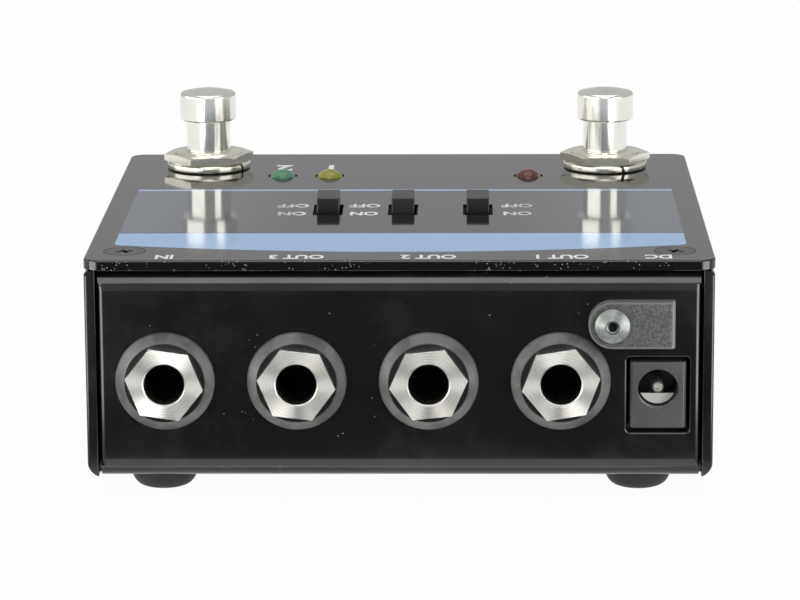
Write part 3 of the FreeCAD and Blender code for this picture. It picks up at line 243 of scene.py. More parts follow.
def cut_from_bar(name, material, profile, flats, turn):
    """A lathed nut at the origin, cut down to its hexagon."""
    nut = make_object(lathe(profile, 96), name, material)
    form = prism(hexagon(flats, turn), -BEYOND, BEYOND)
    return combine(nut, make_object(form, "form", None), "INTERSECT")


def dress(piece, body, slot, *nodes):
    """The piece rides on its body and stands for those nodes; the slot is not used."""
    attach(piece, body)
    if nodes:
        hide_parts(*nodes)


def dress_copy(node, name, finish, edge, body, slot):
    """Dress a node's own shape, its sharp edges rounded."""
    piece = make_object(copy_of(node), name, MATERIALS[finish])
    soften(piece, edge, segments=3)
    dress(piece, body, slot, node)


# Materials

# The places of the colours among a mix node's sockets
MIX_FIRST = 6
MIX_SECOND = 7
MIX_RESULT = 2


def add_node(tree, kind, inputs, **settings):
    """A shader node; each of its inputs takes a plain value or another node's output."""
    node = tree.nodes.new("ShaderNode" + kind)
    for name, value in settings.items():
        setattr(node, name, value)
    for socket, value in inputs.items():
        if isinstance(value, bpy.types.NodeSocket):
            tree.links.new(value, node.inputs[socket])
        else:
            node.inputs[socket].default_value = value
    return node


class Finish:
    """A material and the shorthand that wires its nodes."""

    def __init__(self, name, colour, roughness, metallic=0.0):
        self.material = bpy.data.materials.new(name)
        self.material.use_nodes = True
        self.tree = self.material.node_tree
        self.shader = self.tree.nodes["Principled BSDF"]
        self.set("Base Color", (*colour, 1.0))
        self.set("Roughness", roughness)
        self.set("Metallic", metallic)

    def set(self, socket, value):
        self.shader.inputs[socket].default_value = value

    def drive(self, socket, value):
        self.tree.links.new(value, self.shader.inputs[socket])

    def add(self, kind, inputs, **settings):
        return add_node(self.tree, kind, inputs, **settings)

    def coordinates(self, centre=(0, 0, 0), scale=(1, 1, 1)):
        """Object coordinates from a centre, stretched by the scale."""
        start = [-c * s for c, s in zip(centre, scale)]
        own = self.add("TexCoord", {}).outputs["Object"]
        return self.add("Mapping", {"Location": start, "Scale": scale, "Vector": own}).outputs["Vector"]

    def axis(self, name, centre=(0, 0, 0)):
        """How far a point is from the centre along X, Y or Z."""
        return self.add("SeparateXYZ", {"Vector": self.coordinates(centre)}).outputs[name]

    def circling(self, centre, axis):
        """The direction round a line through the centre, for turned metal."""
        inputs = {0: axis, 1: self.coordinates(centre)}
        return self.add("VectorMath", inputs, operation="CROSS_PRODUCT").outputs["Vector"]

    def radius(self, centre, flat):
        """The distance from a line through the centre along the flat axis."""
        scale = [0.0 if name == flat else 1.0 for name in "XYZ"]
        inputs = {0: self.coordinates(centre, scale)}
        return self.add("VectorMath", inputs, operation="LENGTH").outputs["Value"]

    def noise(self, scale, detail=4.0, roughness=0.6, where=None):
        inputs = {"Scale": scale, "Detail": detail, "Roughness": roughness,
                  "Vector": where or self.coordinates()}
        return self.add("TexNoise", inputs).outputs["Fac"]

    def rings(self, scale, distortion, centre, direction):
        """Fine turned rings round a line through the centre."""
        inputs = {"Scale": scale, "Distortion": distortion, "Detail": 2.0,
                  "Vector": self.coordinates(centre)}
        wave = self.add("TexWave", inputs, wave_type="RINGS", rings_direction=direction)
        return wave.outputs["Fac"]

    def cells(self, scale, where=None, feature="F1"):
        inputs = {"Scale": scale, "Vector": where or self.coordinates()}
        return self.add("TexVoronoi", inputs, feature=feature).outputs["Distance"]

    def spread(self, value, low, high, out_low=0.0, out_high=1.0):
        """Map a range onto another, and keep inside it."""
        inputs = {"Value": value, "From Min": low, "From Max": high, "To Min": out_low, "To Max": out_high}
        return self.add("MapRange", inputs).outputs["Result"]

    def math(self, operation, *values):
        return self.add("Math", dict(enumerate(values)), operation=operation).outputs["Value"]

    def mix(self, factor, first, second):
        """From the first colour, or colour socket, to the second."""
        first, second = ((*side, 1.0) if isinstance(side, tuple) else side for side in (first, second))
        inputs = {"Factor": factor, MIX_FIRST: first, MIX_SECOND: second}
        return self.add("Mix", inputs, data_type="RGBA").outputs[MIX_RESULT]

    def bump(self, height, strength, distance):
        inputs = {"Height": height, "Strength": strength, "Distance": distance}
        self.drive("Normal", self.add("Bump", inputs).outputs["Normal"])

    def gloss(self, cloud, low, high):
        """Let the roughness wander between two values."""
        self.drive("Roughness", self.spread(cloud, 0.3, 0.7, low, high))

    def specks(self, spacing, share, size=0.09):
        """Dots of dust, one to a cell and as large as that share of it, where a coarse noise allows."""
        dots = self.spread(self.cells(1 / spacing), size / 2, size, 1.0, 0.0)
        kept = self.spread(self.noise(DUST_PATCHES, 1, 0.5), share, share + 0.02)
        return self.math("MULTIPLY", dots, kept)


DUST = (0.30, 0.31, 0.30)
DUST_PATCHES = 230
BLEND = 0.0002


def enamel(name, colour, roughness, spacing, share, dusty_front=None, haze=0.0):
    """Baked enamel: faint orange peel, uneven gloss, specks of dust and a wiped haze."""
    finish = Finish(name, colour, roughness)
    dust = finish.specks(spacing, share)
    if haze:
        wiped = finish.spread(finish.noise(75, 6, 0.72), 0.52, 0.72, 0.0, haze)
        dust = finish.math("MAXIMUM", dust, wiped)
    if dusty_front is not None:
        front = finish.spread(finish.axis("Y"), dusty_front, dusty_front + BLEND, 1.0, 0.0)
        settled = finish.math("MULTIPLY", front, finish.specks(0.0006, 0.44, 0.21))
        dust = finish.math("MAXIMUM", dust, settled)
    smear = finish.spread(finish.noise(60, 5, 0.6), 0.3, 0.7, roughness * 0.75, roughness * 1.3)
    finish.drive("Base Color", finish.mix(dust, colour, DUST))
    finish.drive("Roughness", finish.math("ADD", smear, finish.math("MULTIPLY", dust, 0.4)))
    finish.bump(finish.noise(900, 2, 0.5), 0.10, 0.00003)
    return finish


def plastic(name, colour, roughness, grain=1500.0, depth=0.00003):
    """Moulded plastic with a fine even grain and slightly uneven gloss."""
    finish = Finish(name, colour, roughness)
    shade = finish.noise(120, 4, 0.6)
    paler = tuple(min(1.0, channel * 1.25 + 0.004) for channel in colour)
    finish.drive("Base Color", finish.mix(finish.spread(shade, 0.35, 0.7), colour, paler))
    finish.gloss(shade, roughness * 0.85, roughness * 1.2)
    finish.bump(finish.noise(grain, 3, 0.6), 0.4, depth)
    return finish


def clamp_nylon():
    """Coarsely grained nylon: pale grains on a darker ground, inside a rim painted paler as the edge
    highlight.
    """
    low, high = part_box("cable_clamp")
    half = (high.z - low.z) / 2
    round_end = (low.x + half, 0, low.z + half)
    finish = Finish("grained_clamp_nylon", CLAMP_DARK, 0.5)
    aside = finish.math("MINIMUM", finish.axis("X", round_end), 0.0)
    upwards = finish.axis("Z", round_end)
    squares = [finish.math("MULTIPLY", way, way) for way in (aside, upwards)]
    reach = finish.math("SQRT", finish.math("ADD", *squares))
    # painted highlight: a paler border round the round end and along the straight end stands for light
    # caught on the clamp's edges
    edge = finish.spread(reach, half - CLAMP_PAINTED_RIM_WIDTH, half - CLAMP_PAINTED_RIM_WIDTH / 2, 0.0, 0.45)
    end = finish.spread(finish.axis("X"), high.x - CLAMP_PAINTED_RIM_WIDTH * 1.5, high.x - CLAMP_PAINTED_RIM_WIDTH)
    painted_rim_light = finish.math("MAXIMUM", edge, end)
    grain = finish.spread(finish.noise(2400, 3, 0.7), 0.42, 0.64)
    ground = finish.mix(grain, CLAMP_DARK, CLAMP_GRAIN)
    finish.drive("Base Color", finish.mix(painted_rim_light, ground, CLAMP_PAINTED_RIM_HIGHLIGHT))
    finish.drive("Roughness", finish.spread(grain, 0.0, 1.0, 0.62, 0.40))
    finish.bump(grain, 0.6, 0.00006)
    return finish


def metal(name, colour, roughness, scratches=0.25):
    """Plated metal with a cloudy gloss, fine scratches and small pits."""
    finish = Finish(name, colour, roughness, 1.0)
    cloud = finish.noise(220, 5, 0.6)
    finish.gloss(cloud, roughness * 0.8, roughness * 1.35)
    darker = tuple(channel * 0.86 for channel in colour)
    finish.drive("Base Color", finish.mix(finish.spread(cloud, 0.35, 0.75), colour, darker))
    stretched = finish.coordinates(scale=(1, 1, 14))
    finish.bump(finish.noise(500, 3, 0.7, stretched), scratches, 0.00002)
    return finish


def turned_nickel(name, centre):
    """A nut's nickel, turned round its own bore, so that it gleams in streaks from the middle."""
    finish = Finish(name, NICKEL, 0.4, 1.0)
    cloud = finish.noise(300, 4, 0.6)
    finish.set("Anisotropic", 0.92)
    finish.drive("Tangent", finish.circling(centre, (0, 1, 0)))
    clouded = finish.mix(finish.spread(cloud, 0.35, 0.75), NICKEL, NICKEL_CLOUD)
    rings = finish.rings(620, 5.0, centre, "Y")
    deep = finish.spread(rings, 0.5, 1.0, 0.0, 0.5)
    grooves = finish.math("MULTIPLY", deep, finish.spread(cloud, 0.35, 0.6))
    finish.drive("Base Color", finish.mix(grooves, clouded, NICKEL_GROOVE))
    finish.gloss(cloud, 0.34, 0.46)
    finish.bump(rings, 0.5, 0.00001)
    return finish.material


def washer_plastic(name, centre):
    """A washer's glossy flat ring, with its sloping rim painted pale as a sheen and made matt."""
    finish = Finish(name, WASHER_BLACK, 0.3)
    face = WASHER_FACE / 2
    # painted sheen: the sloping rim is coloured paler in uneven patches, standing for light on the bevel
    painted_rim_light = finish.spread(finish.radius(centre, "Y"), face - BLEND / 2, face + BLEND / 2)
    cloud = finish.noise(210, 3, 0.6)
    painted_rim_sheen = finish.mix(finish.spread(cloud, 0.38, 0.62), WASHER_RIM_SHEEN_DARKER, WASHER_RIM_SHEEN_PALER)
    finish.drive("Base Color", finish.mix(painted_rim_light, WASHER_BLACK, painted_rim_sheen))
    finish.drive("Roughness", finish.spread(painted_rim_light, 0.0, 1.0, 0.22, 0.5))
    finish.bump(finish.noise(1400, 3), 0.3, 0.00002)
    return finish.material


def clamp_screw_zinc(centre):
    """Dull zinc, painted nearly black inside the key recess as shade."""
    finish = metal("dull_clamp_screw_zinc", SCREW_ZINC, 0.42, scratches=0.5)
    # painted shade: the colour goes nearly black inside the key recess
    painted_recess_shade = finish.spread(finish.radius(centre, "Y"), KEY_HOLE, KEY_MOUTH, 1.0, 0.0)
    cloud = finish.spread(finish.noise(900, 3, 0.6), 0.35, 0.7)
    worn = finish.mix(cloud, SCREW_ZINC, SCREW_ZINC_WORN)
    finish.drive("Base Color", finish.mix(painted_recess_shade, worn, KEY_PAINTED_SHADE))
    return finish.material


def board_laminate():
    """Green solder mask over copper tracks that show as slightly raised, paler lines."""
    finish = Finish("green_board_laminate", TRACK_GREEN, 0.5)
    where = finish.coordinates(scale=(1, 1, 0.02))
    tracks = finish.spread(finish.cells(260, where, "DISTANCE_TO_EDGE"), 0.05, 0.09, 1.0, 0.0)
    finish.drive("Base Color", finish.mix(tracks, MASK_GREEN, TRACK_GREEN))
    finish.bump(tracks, 0.3, 0.00005)
    return finish


def lens(name, colour):
    """A tinted, lightly frosted lamp body."""
    finish = Finish(name, colour, 0.18)
    finish.set("Transmission Weight", 0.35)
    finish.set("IOR", 1.5)
    deeper = tuple(channel * 0.7 for channel in colour)
    cloud = finish.noise(700, 3)
    finish.drive("Base Color", finish.mix(finish.spread(cloud, 0.35, 0.7), colour, deeper))
    finish.gloss(cloud, 0.12, 0.3)
    return finish


def ink(name, colour, roughness=0.12):
    """Printed ink under the same gloss as the plate, with slightly uneven cover."""
    finish = Finish(name, colour, roughness)
    thin = tuple(channel * 0.93 for channel in colour)
    cover = finish.noise(400, 4, 0.6)
    finish.drive("Base Color", finish.mix(finish.spread(cover, 0.4, 0.75), colour, thin))
    finish.gloss(cover, roughness * 0.8, roughness * 1.3)
    return finish


def fading_ink(name, colour, ground):
    """Printed ink that fades to the ground colour towards the middle of the plate."""
    finish = ink(name, colour, 0.07)
    across = finish.math("ABSOLUTE", finish.axis("X"))
    fade = finish.spread(across, FIELD_INNER, FIELD_INNER + FIELD_FADE)
    finish.drive("Base Color", finish.mix(fade, ground, colour))
    return finish


NICKEL = (0.90, 0.89, 0.84)
NICKEL_CLOUD = (0.82, 0.81, 0.76)
NICKEL_GROOVE = (0.60, 0.59, 0.55)
SCREW_ZINC = (0.27, 0.285, 0.275)
SCREW_ZINC_WORN = (0.17, 0.18, 0.17)
# painted shade inside the clamp screw's key recess
KEY_PAINTED_SHADE = (0.02, 0.02, 0.02)
WASHER_BLACK = (0.012, 0.012, 0.013)
# the darker and paler colours of the washer rim's painted sheen
WASHER_RIM_SHEEN_DARKER = (0.045, 0.048, 0.047)
WASHER_RIM_SHEEN_PALER = (0.132, 0.136, 0.132)
CLAMP_DARK = (0.042, 0.045, 0.042)
CLAMP_GRAIN = (0.112, 0.118, 0.112)
# the pale colour and the width of the clamp's painted edge highlight
CLAMP_PAINTED_RIM_HIGHLIGHT = (0.25, 0.26, 0.24)
CLAMP_PAINTED_RIM_WIDTH = 0.0004
MASK_GREEN = (0.001, 0.006, 0.003)
TRACK_GREEN = (0.003, 0.018, 0.008)
CASE_BLACK = (0.0055, 0.0055, 0.006)
PLATE_BLACK = (0.006, 0.006, 0.0065)
FIELD_GREY = (0.080, 0.100, 0.130)
FIELD_INNER = 0.018
FIELD_FADE = 0.024
LENS_SHADES = {
    "green": (0.13, 0.37, 0.22),
    "yellow": (0.45, 0.45, 0.06),
    "red": (0.17, 0.045, 0.035),
}
MATERIALS = {}


def build_materials():
    finishes = {
        "case": enamel("black_case_enamel", CASE_BLACK, 0.20, spacing=0.0014, share=0.60, haze=0.035),
        "plate": enamel("black_plate_enamel", PLATE_BLACK, 0.07, spacing=0.0016, share=0.66,
                        dusty_front=PLATE_LOW.y + PLATE_EDGE),
        "rubber": plastic("black_foot_rubber", (0.010, 0.010, 0.010), 0.62, grain=900, depth=0.00008),
        "jack_plastic": enamel("black_jack_nylon", (0.018, 0.018, 0.016), 0.30, spacing=0.0010, share=0.42),
        "socket": plastic("black_socket_plastic", (0.055, 0.056, 0.060), 0.42),
        "clamp": clamp_nylon(),
        "knob": plastic("black_knob_plastic", (0.014, 0.015, 0.014), 0.32),
        "housing": plastic("switch_housing_plastic", (0.020, 0.028, 0.110), 0.4),
        "lug_board": plastic("brown_lug_board", (0.150, 0.070, 0.030), 0.55),
        "header": plastic("black_header_plastic", (0.015, 0.015, 0.015), 0.5),
        "satin": metal("satin_nickel", (0.86, 0.84, 0.74), 0.2),
        "chrome": metal("cap_chrome", (0.85, 0.84, 0.78), 0.17, scratches=0.10),
        "zinc": metal("zinc_plating", (0.62, 0.62, 0.60), 0.34),
        "black_screw": plastic("black_screw_coating", (0.012, 0.014, 0.013), 0.30,
                               grain=2200, depth=0.00014),
        "bronze": metal("contact_bronze", (0.72, 0.50, 0.27), 0.3),
        "contact": metal("contact_nickel", (0.74, 0.74, 0.70), 0.42, scratches=0.06),
        "laminate": board_laminate(),
        "transformer": metal("transformer_steel", (0.30, 0.28, 0.26), 0.5),
        "band": ink("pale_blue_band", (0.31, 0.51, 0.82)),
        "navy": ink("navy_line", (0.010, 0.020, 0.075)),
        "legend": ink("white_legend", (0.93, 0.94, 0.95), 0.3),
        "field": fading_ink("fading_grey_field", FIELD_GREY, PLATE_BLACK),
    }
    for colour, shade in LENS_SHADES.items():
        finishes[colour + "_lens"] = lens(colour + "_lens", shade)
    for name, finish in finishes.items():
        MATERIALS[name] = finish.material


# Case

PANEL_HALF = 0.04845
WALL_OUTER = TRAY_HIGH.x
WALL_THICKNESS = 0.0018
WALL_INNER = WALL_OUTER - WALL_THICKNESS
NEAR = 0.00003

# Two corners of a box round the power socket's window, as X and Z
WINDOW = ((0.0365, 0.0113), (0.0469, 0.0240))
WINDOW_ROUND = 0.0004

# How far from the middle the case's front edges stand, and how far they are rounded
FRONT_EDGES = ((PANEL_HALF, 0.0008), (WALL_OUTER, 0.00045), (WALL_INNER, 0.0003))
CASE_EDGE = 0.0001


def on_panel(point):
    return abs(point.y - PANEL_Y) < NEAR


def on_window(point):
    (left, low), (right, high) = WINDOW
    return on_panel(point) and left < point.x < right and low < point.z < high


def make_case():
    bm = copy_of("base_tray")
    round_edges(bm, on_window, WINDOW_ROUND, 4)
    for across, width in FRONT_EDGES:
        round_edges(bm, lambda point: on_panel(point) and abs(abs(point.x) - across) < NEAR, width, 5)
    tray = make_object(bm, "case_tray", MATERIALS["case"])
    soften(tray, CASE_EDGE)
    dress(tray, "case", "black_enamel", "base_tray")
    make_cover_plate()


PLATE_CORNER = 0.0025
PLATE_EDGE = 0.0003
SLOT_WIDTH = 0.00505
SLOT_LENGTH = 0.0093
LAMP_HOLE = 0.0052
FOOTSWITCH_HOLE = 0.0122
SCREW_SINK = 0.0070
SCREW_HOLE = 0.0038


def make_cover_plate():
    size = PLATE_HIGH - PLATE_LOW
    bm = bmesh.new()
    face = bm.faces.new([bm.verts.new((x, y, 0)) for x, y in rectangle(size.x, size.y)])
    bmesh.ops.bevel(bm, geom=list(face.verts), offset=PLATE_CORNER, segments=10,
                    profile=0.5, affect="VERTICES", material=-1)
    raise_faces(bm, size.z)
    rims = [edge for edge in bm.edges if abs(edge.verts[0].co.z - edge.verts[1].co.z) < SAME_PLACE]
    bmesh.ops.bevel(bm, geom=rims, offset=PLATE_EDGE, segments=4, profile=0.5,
                    affect="EDGES", material=-1)
    moved(bm, (PLATE_MIDDLE.x, PLATE_MIDDLE.y, PLATE_LOW.z))
    plate = make_object(bm, "cover_plate", MATERIALS["plate"])
    for cutter in plate_openings():
        combine(plate, make_object(cutter, "cutter", None), "DIFFERENCE")
    soften(plate)
    dress(plate, "case", "plate_enamel", "top_plate")


def plate_openings():
    """The slots, lamp holes, footswitch holes and countersunk screw holes, as solids."""
    low, high = PLATE_LOW.z - BEYOND, PLATE_TOP + BEYOND
    cutters = []
    for name in SLIDES:
        spot = middle_of(name + "_slide_frame")
        cutters.append(prism(rectangle(SLOT_WIDTH, SLOT_LENGTH, spot.x, spot.y), low, high))
    holes = [(colour + "_lamp", LAMP_HOLE) for colour in LAMPS]
    holes += [(side + "_footswitch_frame", FOOTSWITCH_HOLE) for side in SIDES]
    for node, diameter in holes:
        spot = middle_of(node)
        cutters.append(moved(lathe(cylinder_profile(diameter / 2, low, high)), (spot.x, spot.y, 0)))
    sink_depth = (SCREW_SINK - SCREW_HOLE) / 2
    profile = [(0, low), (SCREW_HOLE / 2, low), (SCREW_HOLE / 2, PLATE_TOP - sink_depth),
               (SCREW_SINK / 2, PLATE_TOP), (SCREW_SINK / 2, high), (0, high)]
    for spot in screw_spots():
        cutters.append(moved(lathe(profile, 48), (spot.x, spot.y, 0)))
    return cutters


def screw_spots():
    """Where the two cover screws stand, from the box round both of them."""
    low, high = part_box("cover_screws")
    reach = (high.y - low.y) / 2
    y = (low.y + high.y) / 2
    return [Vector((low.x + reach, y, 0)), Vector((high.x - reach, y, 0))]


# The plate's printed label

LABEL_HALF = 0.0467
PRINT_RISE = 0.00002
BAND_FAR = 0.0214
BAND_NEAR_END = 0.0121
BAND_NEAR_MIDDLE = 0.0066
BAND_CORNER = 0.0012
NAVY_WIDTH = 0.0006
FIELD_FAR = 0.0593
FIELD_LINE = 0.0012
LEGEND_HEIGHT = 0.0027
LEGEND_WIDTH_SHARE = 0.80
LAMP_LEGEND_HEIGHT = 0.0052
LETTER_SHARE = 0.70
LETTER_WEIGHT = 0.045


def from_jack_edge(distance):
    return PLATE_LOW.y + distance


def print_on_plate(name, material, *shapes):
    bm = bmesh.new()
    for shape in shapes:
        join_shape(bm, shape)
    piece = make_object(bm, name, MATERIALS[material], smooth=False)
    dress(piece, "case", "plate_enamel")


def flat_print(left, right, near, far):
    """A printed rectangle between two sides and two distances from the jack edge."""
    middle = from_jack_edge((near + far) / 2)
    outline = rectangle(right - left, far - near, (left + right) / 2, middle)
    return prism(outline, PLATE_TOP - PRINT_RISE, PLATE_TOP + PRINT_RISE)


def band_outline():
    """The band's far edge is straight; its near edge bows towards the jacks."""
    steps = 40
    points = [(-LABEL_HALF, from_jack_edge(BAND_FAR)), (LABEL_HALF, from_jack_edge(BAND_FAR))]
    for step in range(steps + 1):
        x = LABEL_HALF * (1 - 2 * step / steps)
        bow = BAND_NEAR_MIDDLE + (BAND_NEAR_END - BAND_NEAR_MIDDLE) * (x / LABEL_HALF) ** 2
        points.append((x, from_jack_edge(bow)))
    return points


def make_band():
    bm = bmesh.new()
    bm.faces.new([bm.verts.new((x, y, PLATE_TOP - PRINT_RISE)) for x, y in band_outline()])
    near_ends = [vert for vert in bm.verts if abs(abs(vert.co.x) - LABEL_HALF) < SAME_PLACE
                 and vert.co.y < from_jack_edge(BAND_FAR) - SAME_PLACE]
    bmesh.ops.bevel(bm, geom=near_ends, offset=BAND_CORNER, segments=5, profile=0.5,
                    affect="VERTICES", material=-1)
    raise_faces(bm, 2 * PRINT_RISE)
    return bm


def legend(words, x, distance, height):
    """Words that read from the footswitch side, centred on a place on the plate."""
    curve = bpy.data.curves.new("legend", "FONT")
    curve.body = words
    curve.size = height / LETTER_SHARE
    curve.align_x = "CENTER"
    curve.align_y = "CENTER"
    curve.extrude = PRINT_RISE
    curve.offset = height * LETTER_WEIGHT
    writing = bpy.data.objects.new("legend", curve)
    bpy.context.scene.collection.objects.link(writing)
    graph = bpy.context.evaluated_depsgraph_get()
    mesh = bpy.data.meshes.new_from_object(writing.evaluated_get(graph))
    bm = bmesh.new()
    bm.from_mesh(mesh)
    bpy.data.objects.remove(writing)
    bpy.data.curves.remove(curve)
    bpy.data.meshes.remove(mesh)
    narrowed = Matrix.Rotation(math.pi, 4, "Z") @ Matrix.Diagonal((LEGEND_WIDTH_SHARE, 1, 1, 1))
    return moved(bm, (x, from_jack_edge(distance), PLATE_TOP), narrowed)


# The words that stand over each socket and beside each lamp
SOCKET_LEGENDS = {
    "input_jack_washer": "IN",
    "tuner_jack_washer": "OUT 3",
    "output_b_jack_washer": "OUT 2",
    "output_a_jack_washer": "OUT 1",
    "dc_socket_body": "DC",
}
SOCKET_LEGEND_DISTANCE = 0.0029
LAMP_LEGENDS = {"yellow_lamp": "1", "green_lamp": "2"}
LAMP_LEGEND_DISTANCE = 0.0800

# The slide switches' words, each with its distance from the jack edge
SLIDE_LEGENDS = {"OFF": 0.0449, "ON": 0.0381}
SLIDE_LEGEND_ASIDE = {"left": -0.0061, "middle": -0.0066, "right": 0.0067}


def make_label():
    print_on_plate("label_band", "band", make_band())
    print_on_plate("label_navy_line", "navy",
                   flat_print(-LABEL_HALF, LABEL_HALF, BAND_FAR, BAND_FAR + NAVY_WIDTH))
    print_on_plate("label_far_line", "band",
                   flat_print(-LABEL_HALF, LABEL_HALF, FIELD_FAR - FIELD_LINE, FIELD_FAR))
    near, far = BAND_FAR + NAVY_WIDTH, FIELD_FAR - FIELD_LINE
    print_on_plate("label_side_fields", "field", flat_print(-LABEL_HALF, -FIELD_INNER, near, far),
                   flat_print(FIELD_INNER, LABEL_HALF, near, far))
    legends = []
    for node, words in SOCKET_LEGENDS.items():
        legends.append(legend(words, middle_of(node).x, SOCKET_LEGEND_DISTANCE, LEGEND_HEIGHT))
    for name, aside in SLIDE_LEGEND_ASIDE.items():
        for words, distance in SLIDE_LEGENDS.items():
            spot = middle_of(name + "_slide_frame").x
            legends.append(legend(words, spot + aside, distance, LEGEND_HEIGHT))
    for node, words in LAMP_LEGENDS.items():
        legends.append(legend(words, middle_of(node).x, LAMP_LEGEND_DISTANCE, LAMP_LEGEND_HEIGHT))
    print_on_plate("plate_legends", "legend", *legends)


# Jacks

NUT_FLATS = 0.0110
NUT_MOUTH = 0.0002
WASHER_THICKNESS = 0.0016
WASHER_OUTER = 0.0161
WASHER_FACE = 0.0130
WASHER_LAND = 0.0003
NECK_DIAMETER = 0.0092
NECK_LENGTH = 0.0073
NECK_WALL = 0.0008
BORE = 0.0066
BORE_LAND = 0.0026
SLEEVE_SUNK = 0.00002
SLEEVE_PROUD = 0.00006
NUT_TURNS = {"input": -8.3, "tuner": -6.7, "output_b": 5.9, "output_a": 9.2}


def make_jack(jack):
    spot = middle_of(jack + "_jack_washer")
    place = (spot.x, PANEL_Y, spot.z)
    make_jack_washer(jack, place)
    make_jack_nut(jack, place)
    make_bore_sleeve(jack, place)


def make_jack_washer(jack, place):
    """The moulded washer: a straight edge, a sloping rim and a flat ring under the nut."""
    inner = NECK_DIAMETER / 2 + STEP
    outer, face = WASHER_OUTER / 2, WASHER_FACE / 2
    profile = [
        (inner, 0),
        (outer, 0),
        (outer, WASHER_LAND),
        (outer - 2 * STEP, 2 * WASHER_LAND),
        (face + 2 * STEP, WASHER_THICKNESS - STEP),
        (face - STEP, WASHER_THICKNESS),
        (inner, WASHER_THICKNESS),
    ]
    plastic = washer_plastic(jack + "_washer_plastic", place)
    washer = turned(jack + "_washer", plastic, profile, 96, place, OUT_OF_PANEL)
    dress(washer, "case", "washer_plastic", jack + "_jack_washer")


def nut_top(jack):
    """How far the jack's nut stands out of the panel."""
    return size_of(jack + "_jack_nut").y - NECK_LENGTH


def make_jack_nut(jack, place):
    """The hexagon nut with the jack's neck behind it."""
    top = nut_top(jack)
    corner = NUT_FLATS / math.sqrt(3) + STEP
    neck, bore = NECK_DIAMETER / 2, BORE / 2
    wall = neck - NECK_WALL
    profile = [
        (bore + NUT_MOUTH, top),
        (corner, top),
        (corner, WASHER_THICKNESS),
        (neck, WASHER_THICKNESS),
        (neck, -NECK_LENGTH),
        (wall, -NECK_LENGTH),
        (wall, top - BORE_LAND),
        (bore, top - BORE_LAND),
        (bore, top - NUT_MOUTH),
    ]
    nickel = turned_nickel(jack + "_nut_nickel", place)
    nut = cut_from_bar(jack + "_nut", nickel, profile, NUT_FLATS, NUT_TURNS[jack])
    nut.data.transform(Matrix.Translation(place) @ OUT_OF_PANEL)
    soften(nut)
    dress(nut, "case", "bright_nickel", jack + "_jack_nut")


def make_bore_sleeve(jack, place):
    """The thin black sleeve that lines the nut's bore."""
    top = nut_top(jack)
    outer, inner = BORE / 2 + SLEEVE_SUNK, BORE / 2 - SLEEVE_PROUD
    profile = [
        (outer, top - BORE_LAND),
        (outer, top - 1.6 * NUT_MOUTH),
        (inner, top - 2.2 * NUT_MOUTH),
        (inner, top - BORE_LAND),
    ]
    nylon = MATERIALS["jack_plastic"]
    sleeve = turned(jack + "_bore_sleeve", nylon, profile, 64, place, OUT_OF_PANEL)
    dress(sleeve, "case", "black_nylon")


# Power socket and clamp

SOCKET_EDGE = 0.0002
PIN_CHAMFER = 0.0006
PIN_HOLLOW = 0.0012

# Radii of the pin's shoulder, tip, lip and hollow, as shares of its own
PIN_SHARES = (0.86, 0.62, 0.5, 0.42)


def make_power_socket():
    dress_copy("dc_socket_body", "power_socket", "socket", SOCKET_EDGE, "case", "socket_plastic")
    make_socket_pin()


def make_socket_pin():
    """The round centre pin with its hollow tip."""
    place, length = place_on_panel("dc_pin")
    radius = size_of("dc_pin").x / 2
    shoulder, tip, lip, hollow = (radius * share for share in PIN_SHARES)
    profile = [
        (0, -length),
        (radius, -length),
        (radius, -PIN_CHAMFER),
        (shoulder, -2 * STEP),
        (tip, 0),
        (lip, -2 * STEP),
        (hollow, -PIN_HOLLOW),
        (0, -PIN_HOLLOW),
    ]
    pin = turned("socket_pin", MATERIALS["contact"], profile, 40, place, OUT_OF_PANEL)
    dress(pin, "case", "contact_nickel", "dc_pin")


CLAMP_EDGE = 0.0004
SCREW_EDGE = 0.00004
SCREW_HEAD = 0.00285
SCREW_SHANK = 0.0015
SCREW_HEAD_HEIGHT = 0.00165
SCREW_RIM = 0.0012
KEY_MOUTH = 0.0011
KEY_HOLE = 0.0006
KEY_LEDGE = 0.0004
KEY_DEPTH = 0.0012


def make_cable_clamp():
    dress_copy("cable_clamp", "cable_clamp_strap", "clamp", CLAMP_EDGE, "case", "clamp_nylon")
    make_clamp_screw()


def make_clamp_screw():
    """A low button head over its shank, with a stepped round recess for the key."""
    place, length = place_on_panel("clamp_screw")
    profile = [
        (0, -length),
        (SCREW_SHANK, -length),
        (SCREW_SHANK, -SCREW_HEAD_HEIGHT),
        (SCREW_HEAD, -SCREW_HEAD_HEIGHT),
        (SCREW_HEAD, -SCREW_RIM),
        (SCREW_HEAD - 2 * STEP, 2 * STEP - SCREW_RIM),
        (KEY_MOUTH + 2 * STEP, -STEP),
        (KEY_MOUTH + STEP, 0),
        (KEY_MOUTH, 0),
        (KEY_MOUTH - STEP, -KEY_LEDGE),
        (KEY_HOLE + STEP, -KEY_LEDGE - STEP),
        (KEY_HOLE, -KEY_DEPTH),
        (0, -KEY_DEPTH),
    ]
    screw = make_object(lathe(profile, 48), "clamp_button_screw", clamp_screw_zinc(place))
    screw.data.transform(Matrix.Translation(place) @ OUT_OF_PANEL)
    soften(screw, SCREW_EDGE)
    dress(screw, "case", "clamp_screw_zinc", "clamp_screw")


# Footswitches

